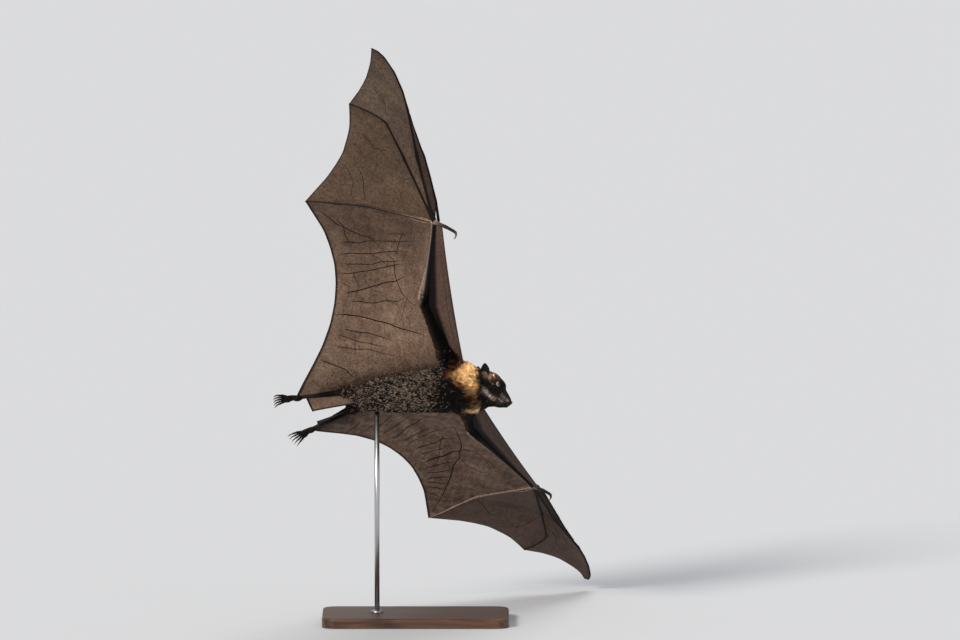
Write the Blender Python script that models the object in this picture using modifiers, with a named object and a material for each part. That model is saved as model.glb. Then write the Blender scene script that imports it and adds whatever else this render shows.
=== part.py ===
"""Flying fox in flight, life size, on a display stand. Metres, +Z up.

The animal is laid out in its own axes (+X to the nose, +Y to its left, +Z to its back, from the middle of
the shoulders) and then banked, pitched and yawed onto the stand, whose underside is z = 0.
"""

from math import cos, pi, radians, sin

import bmesh
import bpy
import numpy as np
from mathutils import Matrix, Vector

for old in list(bpy.data.objects):
    bpy.data.objects.remove(old)

MM = 0.001
GAP = 0.3 * MM

# Attitude of the animal on its stand, and the height of the shoulders over the floor.
BANK = -51.9
PITCH = -7.0
YAW = -19.2
SHOULDER_HEIGHT = 390 * MM
HIP_OFFSET = -140 * MM

# Bone lengths.
HUMERUS = 118 * MM
FOREARM = 170 * MM
THUMB_CLAW = 16 * MM
METACARPALS = {3: 115 * MM, 4: 113 * MM, 5: 118 * MM}
FIRST_PHALANGES = {3: 86 * MM, 4: 69 * MM, 5: 46 * MM}
LAST_PHALANGES = {3: 117 * MM, 4: 66 * MM, 5: 49 * MM}
SHIN = 78 * MM
CALCAR = (6.7 * MM, 21.1 * MM, -13.2 * MM)
FOOT = 19 * MM
TOE = 13 * MM
TOE_CLAW = 12 * MM

# Joint angles of each wing and leg in degrees: sweep forward of straight out, and lift over the level.
# "second" is how far the second finger runs ahead of the third in mm, at the wrist, 0.3, 0.68 and the end
# of the third's long bone, then at each quarter of its next bone.
POSE = {
    "right": {
        "side": -1,
        "humerus": (-14.3, 24.3),
        "forearm": (21.9, 5.3),
        "thumb": (95.1, -31.8),
        "thumb_length": 47 * MM,
        "thumb_claw_way": (-0.4, 0.45, -0.75),
        "second": (8.0, 11.8, 12.4, 11.6, 9.0, 6.3, 3.6),
        "tip_bow": 14 * MM,
        3: ((0.3, 16.0), (4.8, 12.5), (-17.9, 16.8)),
        4: ((-15.2, 23.0), (-10.3, 11.4), (-55.8, 10.3)),
        5: ((-74.9, 10.2), (-72.5, -5.2), (-72.5, -5.2)),
        "shin": (-75.5, -18.0),
        "foot": (-76.0, -20.0),
        "claw_curl": 95,
        "arm_edge_share": 1.0,
    },
    "left": {
        "side": 1,
        "humerus": (-17.4, 20.4),
        "forearm": (19.6, 6.9),
        "thumb": (92.7, -34.3),
        "thumb_length": 41 * MM,
        "thumb_claw_way": (-0.1, 0.3, -0.9),
        "second": (7.0, 9.5, 8.6, 7.8, 5.2, 3.6),
        "tip_bow": 7.5 * MM,
        3: ((-1.8, 17.4), (8.1, 12.6), (-12.0, 18.0)),
        4: ((-14.3, 22.9), (-11.6, 11.0), (-55.6, 10.6)),
        5: ((-75.2, 9.9), (-72.5, -6.3), (-72.5, -6.3)),
        "shin": (-74.9, -15.5),
        "foot": (-70.0, -14.0),
        "claw_curl": 60,
        "arm_edge_share": 0.95,
    },
}
SHOULDER = (0.0, 31 * MM, 1.5 * MM)
KNEE = (-184.5 * MM, 17.8 * MM, -12.5 * MM)

# Wing skin: thickness, and how far each free edge is drawn in between its two ends.
SKIN = 0.8 * MM
BILLOW = 9 * MM
# Free edges hang in from a straight line: forward, inward and upward at the deepest place.
ARM_EDGE = (53 * MM, 10 * MM, 29 * MM)
# The same between two fingers: toward the wrist, and upward.
HAND_EDGE = {(5, 4): (24.5 * MM, 7.5 * MM), (4, 3): (14.2 * MM, 8.2 * MM)}
# Share of the full depth, from the ankle out to the fifth finger, and between two fingers.
ARM_EDGE_SHAPE = ((0, 0), (0.07, 0.2), (0.14, 0.43), (0.22, 0.66), (0.32, 0.85), (0.42, 0.94), (0.52, 0.95),
                  (0.62, 0.89), (0.72, 0.74), (0.82, 0.54), (0.91, 0.27), (1, 0))
HAND_EDGE_SHAPE = ((0, 0), (0.12, 0.28), (0.28, 0.66), (0.42, 0.86), (0.55, 0.96), (0.7, 0.81), (0.8, 0.66),
                   (0.9, 0.35), (1, 0))
# Bow of a finger's last bone, as (share of its length, share of the bow): blunt at the wing tip, else round.
BLUNT_BOW = ((0.3, 0.67), (0.6, 1.0), (0.85, 0.85), (0.95, 0.5), (1.0, 0.0))
ROUND_BOW = ((0.3, 0.84), (0.6, 0.96), (0.85, 0.51), (0.95, 0.19), (1.0, 0.0))

# Head: place of the nose tip, and the turn of the head against the trunk (roll, nod, turn).
NOSE = (83.1 * MM, 37.6 * MM, -13.7 * MM)
HEAD_TURN = (31.8, 7.1, 48.6)
EYE = (-40 * MM, 15.3 * MM, 6.3 * MM)
EYE_RADIUS = 4.7 * MM
EAR_BASE = (-68.5 * MM, 15.5 * MM, 11.2 * MM)
EAR_TIP = (-76 * MM, 20.5 * MM, 22.5 * MM)

# Stand.
BASE = (300 * MM, 160 * MM, 16 * MM)
BASE_CORNER = 22 * MM
ROD_RADIUS = 4 * MM


def attitude():
    turn = Matrix.Rotation(radians(YAW), 4, "Z")
    turn = turn @ Matrix.Rotation(radians(PITCH), 4, "Y")
    return turn @ Matrix.Rotation(radians(BANK), 4, "X")


ROW = attitude()
HIP_ROW = ROW @ Vector((HIP_OFFSET, 0, 0))
ROD_FOOT = Vector((-62 * MM, 0, 0))
ROW.translation = Vector((ROD_FOOT.x - HIP_ROW.x, ROD_FOOT.y - HIP_ROW.y, SHOULDER_HEIGHT))


def head_matrix():
    roll, nod, turn = (radians(angle) for angle in HEAD_TURN)
    matrix = Matrix.Rotation(turn, 4, "Z") @ Matrix.Rotation(nod, 4, "Y") @ Matrix.Rotation(roll, 4, "X")
    matrix.translation = Vector(NOSE)
    return matrix


HEAD = head_matrix()

animal = bpy.data.collections.new("flying_fox")
cutters = bpy.data.collections.new("cutters")
bpy.context.scene.collection.children.link(animal)
bpy.context.scene.collection.children.link(cutters)


def material(name, red, green, blue, roughness):
    made = bpy.data.materials.new(name)
    made.use_nodes = True
    shader = made.node_tree.nodes["Principled BSDF"]
    shader.inputs["Base Color"].default_value = (red, green, blue, 1.0)
    shader.inputs["Roughness"].default_value = roughness
    return made


COAT = material("body_coat", 0.045, 0.036, 0.03, 0.9)
MANTLE = material("mantle_coat", 0.45, 0.27, 0.12, 0.9)
FACE = material("face_coat", 0.12, 0.07, 0.045, 0.9)
WING_SKIN = material("wing_skin", 0.11, 0.075, 0.055, 0.55)
LIMB_SKIN = material("limb_skin", 0.09, 0.06, 0.045, 0.6)
EAR_SKIN = material("ear_skin", 0.02, 0.015, 0.015, 0.6)
NOSE_SKIN = material("nose_skin", 0.012, 0.01, 0.01, 0.4)
EYE_BROWN = material("eye_brown", 0.05, 0.02, 0.01, 0.1)
CLAW_HORN = material("claw_horn", 0.02, 0.017, 0.015, 0.35)
STAND_WOOD = material("stand_wood", 0.09, 0.05, 0.03, 0.45)
STAND_STEEL = material("stand_steel", 0.25, 0.25, 0.26, 0.35)


def make(name, points, faces, skin, collection=animal):
    """One object from points in the animal's axes."""
    mesh = bpy.data.meshes.new(name)
    mesh.from_pydata([ROW @ Vector(point) for point in points], [], faces)
    mesh.materials.append(skin)
    made = bpy.data.objects.new(name, mesh)
    collection.objects.link(made)
    return made


def loft(name, rings, skin, collection=animal):
    """Closed body through rings of equal count, turning anticlockwise seen from the far end."""
    count = len(rings[0])
    points = [point for ring in rings for point in ring]
    faces = [list(range(count))[::-1]]
    for i in range(len(rings) - 1):
        for j in range(count):
            k = (j + 1) % count
            faces.append([i * count + j, i * count + k, (i + 1) * count + k, (i + 1) * count + j])
    last = (len(rings) - 1) * count
    faces.append([last + j for j in range(count)])
    return make(name, points, faces, skin, collection)


def tube_rings(path, radii, sides, grow=0.0, across=None, flatten=1.0):
    """Rings square to a path. `across` is the direction of the long axis of a flattened section."""
    path = [Vector(point) for point in path]
    steps = [(path[i + 1] - path[i]).normalized() for i in range(len(path) - 1)]
    if grow:
        path[0] = path[0] - steps[0] * grow
        path[-1] = path[-1] + steps[-1] * grow
    first = Vector(across) if across else Vector((0.0, 0.0, 1.0))
    rings = []
    for i, point in enumerate(path):
        along = steps[min(i, len(steps) - 1)] + steps[max(i - 1, 0)]
        along.normalize()
        wide = (first - along * first.dot(along)).normalized()
        high = along.cross(wide)
        first = wide
        ring = []
        for j in range(sides):
            angle = 2 * pi * (j + 0.5) / sides
            reach = radii[i] + grow
            ring.append(point + wide * reach * cos(angle) + high * (radii[i] * flatten + grow) * sin(angle))
        rings.append(ring)
    return rings


def grown(pieces, name):
    """Cutter pieces from (rings) lists, one hidden object each."""
    made = []
    for i, rings in enumerate(pieces):
        cutter = loft(f"{name}_cutter_{i}", rings, LIMB_SKIN, cutters)
        cutter.hide_render = True
        cutter.display_type = "WIRE"
        made.append(cutter)
    return made


def carve(piece, tools):
    """Cuts the tools away and keeps the largest body that is left."""
    for tool in tools:
        cut = piece.modifiers.new(tool.name, "BOOLEAN")
        cut.operation = "DIFFERENCE"
        cut.solver = "EXACT"
        cut.object = tool
    graph = bpy.context.evaluated_depsgraph_get()
    cut_mesh = bpy.data.meshes.new_from_object(piece.evaluated_get(graph))
    piece.modifiers.clear()
    shape = bmesh.new()
    shape.from_mesh(cut_mesh)
    seen = set()
    bodies = []
    for start in shape.verts:
        if start in seen:
            continue
        body = []
        front = [start]
        seen.add(start)
        while front:
            vert = front.pop()
            body.append(vert)
            for edge in vert.link_edges:
                other = edge.other_vert(vert)
                if other not in seen:
                    seen.add(other)
                    front.append(other)
        bodies.append(body)
    bodies.sort(key=len)
    for body in bodies[:-1]:
        bmesh.ops.delete(shape, geom=body, context="VERTS")
    shape.to_mesh(cut_mesh)
    shape.free()
    piece.data = cut_mesh


def sheet(name, grid, skin):
    """Skin of even thickness through a grid of points."""
    rows = len(grid)
    columns = len(grid[0])
    points = [point for row in grid for point in row]
    faces = []
    for i in range(rows - 1):
        for j in range(columns - 1):
            a = i * columns + j
            faces.append([a, a + 1, a + columns + 1, a + columns])
    made = make(name, points, faces, skin)
    shape = bmesh.new()
    shape.from_mesh(made.data)
    bmesh.ops.remove_doubles(shape, verts=shape.verts, dist=0.0001)
    shape.to_mesh(made.data)
    shape.free()
    wall = made.modifiers.new("thickness", "SOLIDIFY")
    wall.thickness = SKIN
    wall.offset = 0.0
    graph = bpy.context.evaluated_depsgraph_get()
    solid = bpy.data.meshes.new_from_object(made.evaluated_get(graph))
    made.modifiers.clear()
    shape = bmesh.new()
    shape.from_mesh(solid)
    bmesh.ops.recalc_face_normals(shape, faces=shape.faces)
    if shape.calc_volume(signed=True) < 0:
        bmesh.ops.reverse_faces(shape, faces=shape.faces)
    shape.to_mesh(solid)
    shape.free()
    made.data = solid
    return made


def out_from(side, angles):
    """Unit direction of a limb from its sweep and lift."""
    sweep, lift = (radians(angle) for angle in angles)
    return Vector((sin(sweep) * cos(lift), side * cos(sweep) * cos(lift), sin(lift)))


class Route:
    """A line through points, read by the share of its length."""

    def __init__(self, points):
        self.points = [Vector(point) for point in points]
        steps = [(b - a).length for a, b in zip(self.points, self.points[1:])]
        self.marks = np.concatenate([[0.0], np.cumsum(steps)]) / sum(steps)

    def at(self, share):
        return Vector([float(np.interp(share, self.marks, [p[i] for p in self.points])) for i in range(3)])


def bowed(start, end, depth, shape):
    """Points of a free edge that leaves the straight line by a depth vector."""
    shares = [mark[0] for mark in shape]
    depths = [mark[1] for mark in shape]
    points = []
    for i in range(17):
        share = i / 16
        points.append(start.lerp(end, share) + depth * float(np.interp(share, shares, depths)))
    return points


# ---------------------------------------------------------------- trunk, neck and head

# Trunk stations: place along the spine, half width, half height, height of the middle.
TRUNK = (
    (-191, 5, 4, -9),
    (-188.5, 12, 9.5, -9),
    (-182, 18, 15, -9),
    (-165, 23.5, 21.5, -8.5),
    (-128, 29.5, 28.5, -8),
    (-85, 33.5, 33, -8),
    (-45, 36.5, 36, -8),
    (-12, 40, 38.5, -8),
    (6, 41, 39.5, -8),
)
# Head stations: top (place behind the nose tip, height), bottom (place, height) and half width.
SKULL = (
    (-61, 20.5, -31, -34.5, 23.0),
    (-55, 23.0, -28.5, -30.0, 21.6),
    (-48, 24.2, -25.0, -27.6, 20.4),
    (-40, 23.0, -21.5, -25.0, 18.0),
    (-33, 20.5, -18.4, -23.0, 15.2),
    (-27.5, 17.0, -15.4, -21.4, 12.4),
    (-22.5, 12.4, -12.4, -19.6, 10.4),
    (-17, 8.6, -9.6, -17.3, 9.2),
    (-11, 6.0, -6.8, -14.4, 8.3),
    (-6, 4.0, -4.2, -12.6, 7.2),
    (-2.5, 1.5, -2.2, -9.5, 5.2),
)
# Mantle between trunk and head: share of the way, half width, half height.
MANTLE_STATIONS = (
    (0.0, 41, 39.5),
    (0.2, 40.5, 39),
    (0.4, 38.5, 38.5),
    (0.6, 34.5, 36.5),
    (0.8, 29, 33.5),
    (0.92, 25.5, 32.6),
    (1.0, 23, 0),
)
AROUND = 20


def oval(matrix, width, top, bottom, grow=0.0):
    """Ring in the YZ plane of a frame, with its own height above and below the axis."""
    ring = []
    middle = (top + bottom) / 2
    high = (top - bottom) / 2
    for j in range(AROUND):
        angle = 2 * pi * j / AROUND
        y = (width + grow) * cos(angle)
        z = middle + (high + grow) * sin(angle)
        ring.append(matrix @ Vector((0.0, y, z)))
    return ring


def trunk_rings(grow=0.0, end=0.0):
    rings = []
    for i, (x, width, high, middle) in enumerate(TRUNK):
        shift = -grow if i == 0 else (end + grow if i == len(TRUNK) - 1 else 0.0)
        frame = Matrix.Translation((x * MM + shift, 0, middle * MM))
        rings.append(oval(frame, width * MM, high * MM, -high * MM, grow))
    return rings


def skull_frame(station):
    """Frame of a tilted head station, and its half height."""
    top = Vector((station[0] * MM, 0, station[1] * MM))
    bottom = Vector((station[2] * MM, 0, station[3] * MM))
    up = (top - bottom).normalized()
    ahead = Vector((0, 1, 0)).cross(up)
    frame = Matrix((
        (ahead.x, 0, up.x, (top.x + bottom.x) / 2),
        (0, 1, 0, 0),
        (ahead.z, 0, up.z, (top.z + bottom.z) / 2),
        (0, 0, 0, 1),
    ))
    return HEAD @ frame, (top - bottom).length / 2


def neck_rings(grow=0.0, start=0.0):
    """The mantle swings from the shoulders round to the back of the head."""
    first = Matrix.Translation((TRUNK[-1][0] * MM, 0, TRUNK[-1][3] * MM))
    last, last_high = skull_frame(SKULL[0])
    a = first.translation
    b = last.translation
    reach = (b - a).length
    leave = first.to_3x3() @ Vector((1, 0, 0)) * reach
    arrive = last.to_3x3() @ Vector((1, 0, 0)) * reach
    turn_a = first.to_quaternion()
    turn_b = last.to_quaternion()
    shares = [station[0] for station in MANTLE_STATIONS]
    widths = [station[1] * MM for station in MANTLE_STATIONS]
    highs = [station[2] * MM for station in MANTLE_STATIONS[:-1]] + [last_high]
    rings = []
    for s in (start, 0.17, 0.34, 0.5, 0.64, 0.78, 0.9, 0.995):
        spot = a * (2 * s**3 - 3 * s**2 + 1) + leave * (s**3 - 2 * s**2 + s)
        spot = spot + b * (3 * s**2 - 2 * s**3) + arrive * (s**3 - s**2)
        frame = turn_a.slerp(turn_b, s).to_matrix().to_4x4()
        frame.translation = spot
        width = float(np.interp(s, shares, widths))
        high = float(np.interp(s, shares, highs))
        rings.append(oval(frame, width, high, -high, grow))
    return rings


def head_rings(grow=0.0):
    rings = []
    for i, station in enumerate(SKULL):
        frame, high = skull_frame(station)
        if i == 0:
            frame = frame @ Matrix.Translation((-grow, 0, 0))
        rings.append(oval(frame, station[4] * MM, high, -high, grow))
    return rings


def ball(name, centre, radii, skin, frame, grow=0.0, around=12, collection=animal):
    """Egg shape at a place in the frame of the head."""
    points = []
    faces = []
    levels = around // 2
    for i in range(1, levels):
        tilt = pi * i / levels
        for j in range(around):
            turn = 2 * pi * j / around
            spot = Vector((
                centre[0] + (radii[0] + grow) * sin(tilt) * cos(turn),
                centre[1] + (radii[1] + grow) * sin(tilt) * sin(turn),
                centre[2] + (radii[2] + grow) * cos(tilt),
            ))
            points.append(frame @ spot)
    top = len(points)
    points.append(frame @ Vector((centre[0], centre[1], centre[2] + radii[2] + grow)))
    points.append(frame @ Vector((centre[0], centre[1], centre[2] - radii[2] - grow)))
    for i in range(levels - 2):
        for j in range(around):
            k = (j + 1) % around
            faces.append([i * around + j, (i + 1) * around + j, (i + 1) * around + k, i * around + k])
    base = (levels - 2) * around
    for j in range(around):
        k = (j + 1) % around
        faces.append([top, j, k])
        faces.append([top + 1, base + k, base + j])
    return make(name, points, faces, skin, collection)


trunk = loft("trunk", trunk_rings(), COAT)
neck = loft("neck", neck_rings(start=0.008), MANTLE)
head = loft("head", head_rings(), FACE)
trunk_cutter = grown([trunk_rings(GAP)], "trunk")
neck_cutter = grown([neck_rings(GAP)], "neck")
head_cutter = grown([head_rings(GAP)], "head")
flesh = trunk_cutter + neck_cutter


def hide(made):
    made.hide_render = True
    made.display_type = "WIRE"
    return made


# Eyes sit in sockets; the nose pad caps the muzzle.
sockets = []
for side, label in ((-1, "right"), (1, "left")):
    at = (EYE[0], side * EYE[1], EYE[2])
    radii = (EYE_RADIUS, EYE_RADIUS, EYE_RADIUS)
    ball(f"eye_{label}", at, radii, EYE_BROWN, HEAD)
    socket = ball(f"socket_{label}", at, radii, FACE, HEAD, GAP, 12, cutters)
    sockets.append(hide(socket))
nose_at = (-3.6 * MM, 0, -2.0 * MM)
nose_size = (4.0 * MM, 4.6 * MM, 3.8 * MM)
nose = ball("nose", nose_at, nose_size, NOSE_SKIN, HEAD, 0.0, 10)
nose_socket = hide(ball("socket_nose", nose_at, nose_size, FACE, HEAD, GAP, 10, cutters))
carve(head, neck_cutter + sockets + [nose_socket])


def ear_rings(side, grow=0.0):
    """Leaf standing out of the coat, cupped forward and to the side."""
    base = Vector((EAR_BASE[0], side * EAR_BASE[1], EAR_BASE[2]))
    tip = Vector((EAR_TIP[0], side * EAR_TIP[1], EAR_TIP[2]))
    along = (tip - base).normalized()
    across = Vector((0.82, 0.0, 0.57))
    across = (across - along * across.dot(along)).normalized()
    out = along.cross(across) * side
    rings = []
    for share, half in ((-0.45, 7.6), (0.0, 7.9), (0.35, 7.4), (0.7, 5.0), (0.92, 2.4), (1.0, 0.8)):
        middle = base.lerp(tip, share)
        ring = []
        for j in range(10):
            angle = 2 * pi * j / 10
            wide = half * MM * cos(angle)
            bend = (wide / (7.8 * MM)) ** 2 * 3.2 * MM
            thick = (0.75 * MM + grow) * sin(angle)
            ring.append(HEAD @ (middle + across * (wide + grow * cos(angle)) + out * (bend + thick)))
        rings.append(ring)
    return rings


for side, label in ((-1, "right"), (1, "left")):
    rings = ear_rings(side)
    if side < 0:
        rings = [ring[::-1] for ring in rings]
    carve(loft(f"ear_{label}", rings, EAR_SKIN), head_cutter + neck_cutter)


# ---------------------------------------------------------------- wings

DIGIT_SIDES = 6


def claw_path(root, along, down, length, curl):
    """Hook that leaves along one direction and turns toward another."""
    points = []
    for i in range(5):
        share = i / 4
        turn = radians(curl) * share
        step = length / 4
        if i == 0:
            points.append(root.copy())
            continue
        points.append(points[-1] + (along * cos(turn) + down * sin(turn)) * step)
    return points


CLAW_TAPER = (1.0, 0.9, 0.7, 0.42, 0.12)


def wing(label):
    pose = POSE[label]
    side = pose["side"]
    shoulder = Vector((SHOULDER[0], side * SHOULDER[1], SHOULDER[2]))
    elbow = shoulder + out_from(side, pose["humerus"]) * HUMERUS
    wrist = elbow + out_from(side, pose["forearm"]) * FOREARM

    # Upper arm, fleshy and furred at the shoulder; the forearm swells below the elbow and at the wrist.
    path = [shoulder.lerp(elbow, share) for share in (0.0, 0.2, 0.45, 0.75, 0.97)]
    radii = [r * MM for r in (16.5, 15, 11.5, 8.5, 7.6)]
    arm = loft(f"upper_arm_{label}", tube_rings(path, radii, 10), COAT)
    arm_cutter = grown([tube_rings(path, radii, 10, GAP)], f"upper_arm_{label}")
    carve(arm, flesh)
    path = [elbow.lerp(wrist, share) for share in (-0.02, 0.02, 0.1, 0.22, 0.4, 0.62, 0.86, 0.96, 1.0, 1.02)]
    radii = [r * MM for r in (4.5, 7.4, 7.0, 6.0, 4.4, 3.5, 3.1, 4.6, 4.4, 2.4)]
    forearm = loft(f"forearm_{label}", tube_rings(path, radii, 8), LIMB_SKIN)
    forearm_cutter = grown([tube_rings(path, radii, 8, GAP)], f"forearm_{label}")
    carve(forearm, arm_cutter)

    # Fingers: long bone, then two shorter ones; the third finger's last bone curves back at its tip.
    routes = {}
    joints = {}
    for digit in (3, 4, 5):
        angles = pose[digit]
        knuckle = wrist + out_from(side, angles[0]) * METACARPALS[digit]
        middle = knuckle + out_from(side, angles[1]) * FIRST_PHALANGES[digit]
        tip = middle + out_from(side, angles[2]) * LAST_PHALANGES[digit]
        bow = {3: pose["tip_bow"], 4: 6.5 * MM, 5: 3 * MM}[digit]
        points = [wrist, knuckle, middle]
        for share, part in BLUNT_BOW if digit == 3 else ROUND_BOW:
            points.append(middle.lerp(tip, share) + Vector((bow * part, 0.0, 0.0)))
        routes[digit] = Route(points)
        joints[digit] = (knuckle, middle, tip)
    spread = {3: Vector((2.5, 0, 0)), 4: Vector((-1.0, 0, 1.0)), 5: Vector((-3.0, 0, -0.5))}
    bones = {}
    for digit in (3, 4, 5):
        knuckle, middle, tip = joints[digit]
        root = wrist + spread[digit] * MM
        long_bone = [root.lerp(knuckle, share) for share in (0.0, 0.12, 0.5, 0.92)]
        rest = [knuckle, knuckle.lerp(middle, 0.12), knuckle.lerp(middle, 0.9), middle]
        rest += [middle.lerp(routes[digit].at(routes[digit].marks[3]), 0.5)]
        rest += routes[digit].points[3:]
        scale = {3: 1.0, 4: 0.85, 5: 0.85}[digit]
        radii = [r * scale * MM for r in (3.0, 2.3, 1.9, 2.2, 2.6, 1.7, 1.5, 1.9, 1.35, 1.2, 1.0, 0.85, 0.8, 0.7)]
        bones[digit] = (long_bone + rest, radii)
    # The second finger runs just ahead of the third and ends beside it.
    knuckle, middle, tip = joints[3]
    ahead = Vector((1.0, 0.0, 0.15)).normalized()
    beside = [wrist, wrist.lerp(knuckle, 0.3), wrist.lerp(knuckle, 0.68), knuckle]
    quarters = len(pose["second"]) - len(beside)
    beside += [knuckle.lerp(middle, 0.25 * (i + 1)) for i in range(quarters)]
    second = [place + ahead * gap * MM for place, gap in zip(beside, pose["second"])]
    radii = (2.4, 1.7, 1.5, 1.6, 1.2, 1.0, 0.9)[: len(second)]
    bones[2] = (second, [r * MM for r in radii])
    routes[2] = Route([wrist + ahead * 3 * MM] + second[1:])
    thumb_way = out_from(side, pose["thumb"])
    thumb_root = wrist + thumb_way * 2 * MM
    thumb_tip = wrist + thumb_way * pose["thumb_length"]
    bones["thumb"] = (
        [thumb_root.lerp(thumb_tip, share) for share in (0.0, 0.2, 0.45, 0.55, 0.9, 1.0)],
        [r * MM for r in (3.4, 2.6, 2.2, 2.5, 2.2, 1.7)],
    )
    cutter = {}
    solid = {}
    for digit, (path, radii) in bones.items():
        name = f"thumb_{label}" if digit == "thumb" else f"finger{digit}_{label}"
        solid[digit] = loft(name, tube_rings(path, radii, DIGIT_SIDES), LIMB_SKIN)
        cutter[digit] = grown([tube_rings(path, radii, DIGIT_SIDES, GAP)], name)
    carve(solid[3], forearm_cutter)
    carve(solid[4], forearm_cutter + cutter[3])
    carve(solid[5], forearm_cutter + cutter[3] + cutter[4])
    carve(solid[2], forearm_cutter + cutter[3])
    carve(solid["thumb"], forearm_cutter + cutter[3] + cutter[2])
    back = Vector(pose["thumb_claw_way"])
    back = (back - thumb_way * back.dot(thumb_way)).normalized()
    path = claw_path(thumb_tip - thumb_way * 1.0 * MM, thumb_way, back, THUMB_CLAW, 125)
    radii = [1.9 * MM * taper for taper in CLAW_TAPER]
    claw = loft(f"thumb_claw_{label}", tube_rings(path, radii, DIGIT_SIDES), CLAW_HORN)
    claw_cutter = grown([tube_rings(path, radii, DIGIT_SIDES, GAP)], f"thumb_claw_{label}")
    carve(claw, cutter["thumb"])

    # Wing skin between the arm, the fingers, the flank and the shin.
    all_bones = arm_cutter + forearm_cutter + claw_cutter
    for digit in cutter:
        all_bones = all_bones + cutter[digit]
    dorsal = Vector((0.0, 0.0, 1.0))
    for (rear, fore), rows, name in (((5, 4), 5, "hand_skin_rear"), ((4, 3), 4, "hand_skin_fore")):
        inward, upward = HAND_EDGE[(rear, fore)]
        middle = joints[rear][2].lerp(joints[fore][2], 0.5)
        depth = (wrist - middle).normalized() * inward + dorsal * upward
        edge = Route(bowed(joints[rear][2], joints[fore][2], depth, HAND_EDGE_SHAPE))
        grid = []
        for i in range(rows + 1):
            across = i / rows
            row = []
            for j in range(9):
                out = 0.03 + 0.97 * j / 8
                flat = routes[rear].at(out).lerp(routes[fore].at(out), across)
                draw = edge.at(across) - joints[rear][2].lerp(joints[fore][2], across)
                lift = dorsal * BILLOW * 0.5 * sin(pi * across) * sin(pi * min(out, 0.95))
                row.append(flat + draw * out**2.2 + lift)
            grid.append(row)
        carve(sheet(f"{name}_{label}", grid, WING_SKIN), all_bones)
    grid = []
    share_of_third = routes[3].marks[1] + 0.25 * quarters * (routes[3].marks[2] - routes[3].marks[1])
    for i in range(3):
        row = []
        for j in range(9):
            out = 0.05 + 0.95 * j / 8
            row.append(routes[3].at(out * share_of_third).lerp(routes[2].at(out), i / 2))
        grid.append(row)
    carve(sheet(f"hand_skin_edge_{label}", grid, WING_SKIN), all_bones)

    # Leg: shin out of the coat, foot, toes and claws.
    knee = Vector((KNEE[0], side * KNEE[1], KNEE[2]))
    shin_way = out_from(side, pose["shin"])
    ankle = knee + shin_way * SHIN
    path = [knee - shin_way * 14 * MM] + [knee.lerp(ankle, share) for share in (0.1, 0.35, 0.7, 0.95, 1.0)]
    radii = [r * MM for r in (8.0, 5.6, 4.0, 3.0, 3.6, 2.6)]
    shin = loft(f"shin_{label}", tube_rings(path, radii, 8), LIMB_SKIN)
    shin_cutter = grown([tube_rings(path, radii, 8, GAP)], f"shin_{label}")
    carve(shin, trunk_cutter)
    foot_way = out_from(side, pose["foot"])
    sideways = Vector((0.0, 0.0, 1.0)).cross(foot_way).normalized()
    under = foot_way.cross(sideways).normalized()
    if under.z > 0:
        under = -under
    ball_of_foot = ankle + foot_way * FOOT
    path = [ankle - foot_way * 1 * MM] + [ankle.lerp(ball_of_foot, share) for share in (0.35, 0.9, 1.0)]
    radii = [r * MM for r in (3.0, 4.0, 6.6, 5.2)]
    foot = loft(f"foot_{label}", tube_rings(path, radii, 8, 0.0, sideways, 0.5), LIMB_SKIN)
    foot_cutter = grown([tube_rings(path, radii, 8, GAP, sideways, 0.5)], f"foot_{label}")
    toes = []
    for toe in range(5):
        fan = (toe - 2) / 2
        root = ball_of_foot - foot_way * 3.5 * MM + sideways * fan * 4.6 * MM
        way = (foot_way + sideways * fan * 0.26 - under * 0.12).normalized()
        end = root + way * (TOE + 3.5 * MM)
        path = [root, root.lerp(end, 0.5), root.lerp(end, 0.85), end]
        radii = [r * MM for r in (1.5, 1.4, 1.5, 1.1)]
        bone = loft(f"toe{toe + 1}_{label}", tube_rings(path, radii, 5), LIMB_SKIN)
        toes.append((bone, path, radii, way, end))
    for bone, path, radii, way, end in toes:
        join = foot.modifiers.new(bone.name, "BOOLEAN")
        join.operation = "UNION"
        join.solver = "EXACT"
        join.object = bone
    graph = bpy.context.evaluated_depsgraph_get()
    joined = bpy.data.meshes.new_from_object(foot.evaluated_get(graph))
    foot.modifiers.clear()
    foot.data = joined
    for bone, path, radii, way, end in toes:
        bpy.data.objects.remove(bone)
    carve(foot, shin_cutter)
    for toe, (bone, path, radii, way, end) in enumerate(toes):
        toe_cutter = grown([tube_rings(path, radii, 5, GAP)], f"toe{toe + 1}_{label}")
        hook = claw_path(end - way * 0.6 * MM, way, under, TOE_CLAW, pose["claw_curl"])
        radii = [1.35 * MM * taper for taper in CLAW_TAPER]
        claw = loft(f"toe_claw{toe + 1}_{label}", tube_rings(hook, radii, 5), CLAW_HORN)
        carve(claw, toe_cutter)
    calcar_root = knee.lerp(ankle, 0.82)
    calcar_tip = calcar_root + Vector((CALCAR[0], -side * CALCAR[1], CALCAR[2]))
    path = [calcar_root, calcar_root.lerp(calcar_tip, 0.6), calcar_tip]
    radii = [r * MM for r in (1.3, 1.0, 0.7)]
    calcar = loft(f"calcar_{label}", tube_rings(path, radii, 6), LIMB_SKIN)
    calcar_cutter = grown([tube_rings(path, radii, 6, GAP)], f"calcar_{label}")
    carve(calcar, shin_cutter)

    # Tail skin: a narrow strip from the shin to a straight edge between rump and calcar.
    grid = []
    tail = Vector((-168 * MM, side * 3 * MM, -27 * MM))
    for i in range(3):
        row = []
        for j in range(5):
            along = j / 4
            outer = knee.lerp(calcar_root, along)
            inner = tail.lerp(calcar_tip, along)
            row.append(outer.lerp(inner, i / 2))
        grid.append(row)
    tools = trunk_cutter + shin_cutter + calcar_cutter
    carve(sheet(f"tail_skin_{label}", grid, WING_SKIN), tools)

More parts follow.
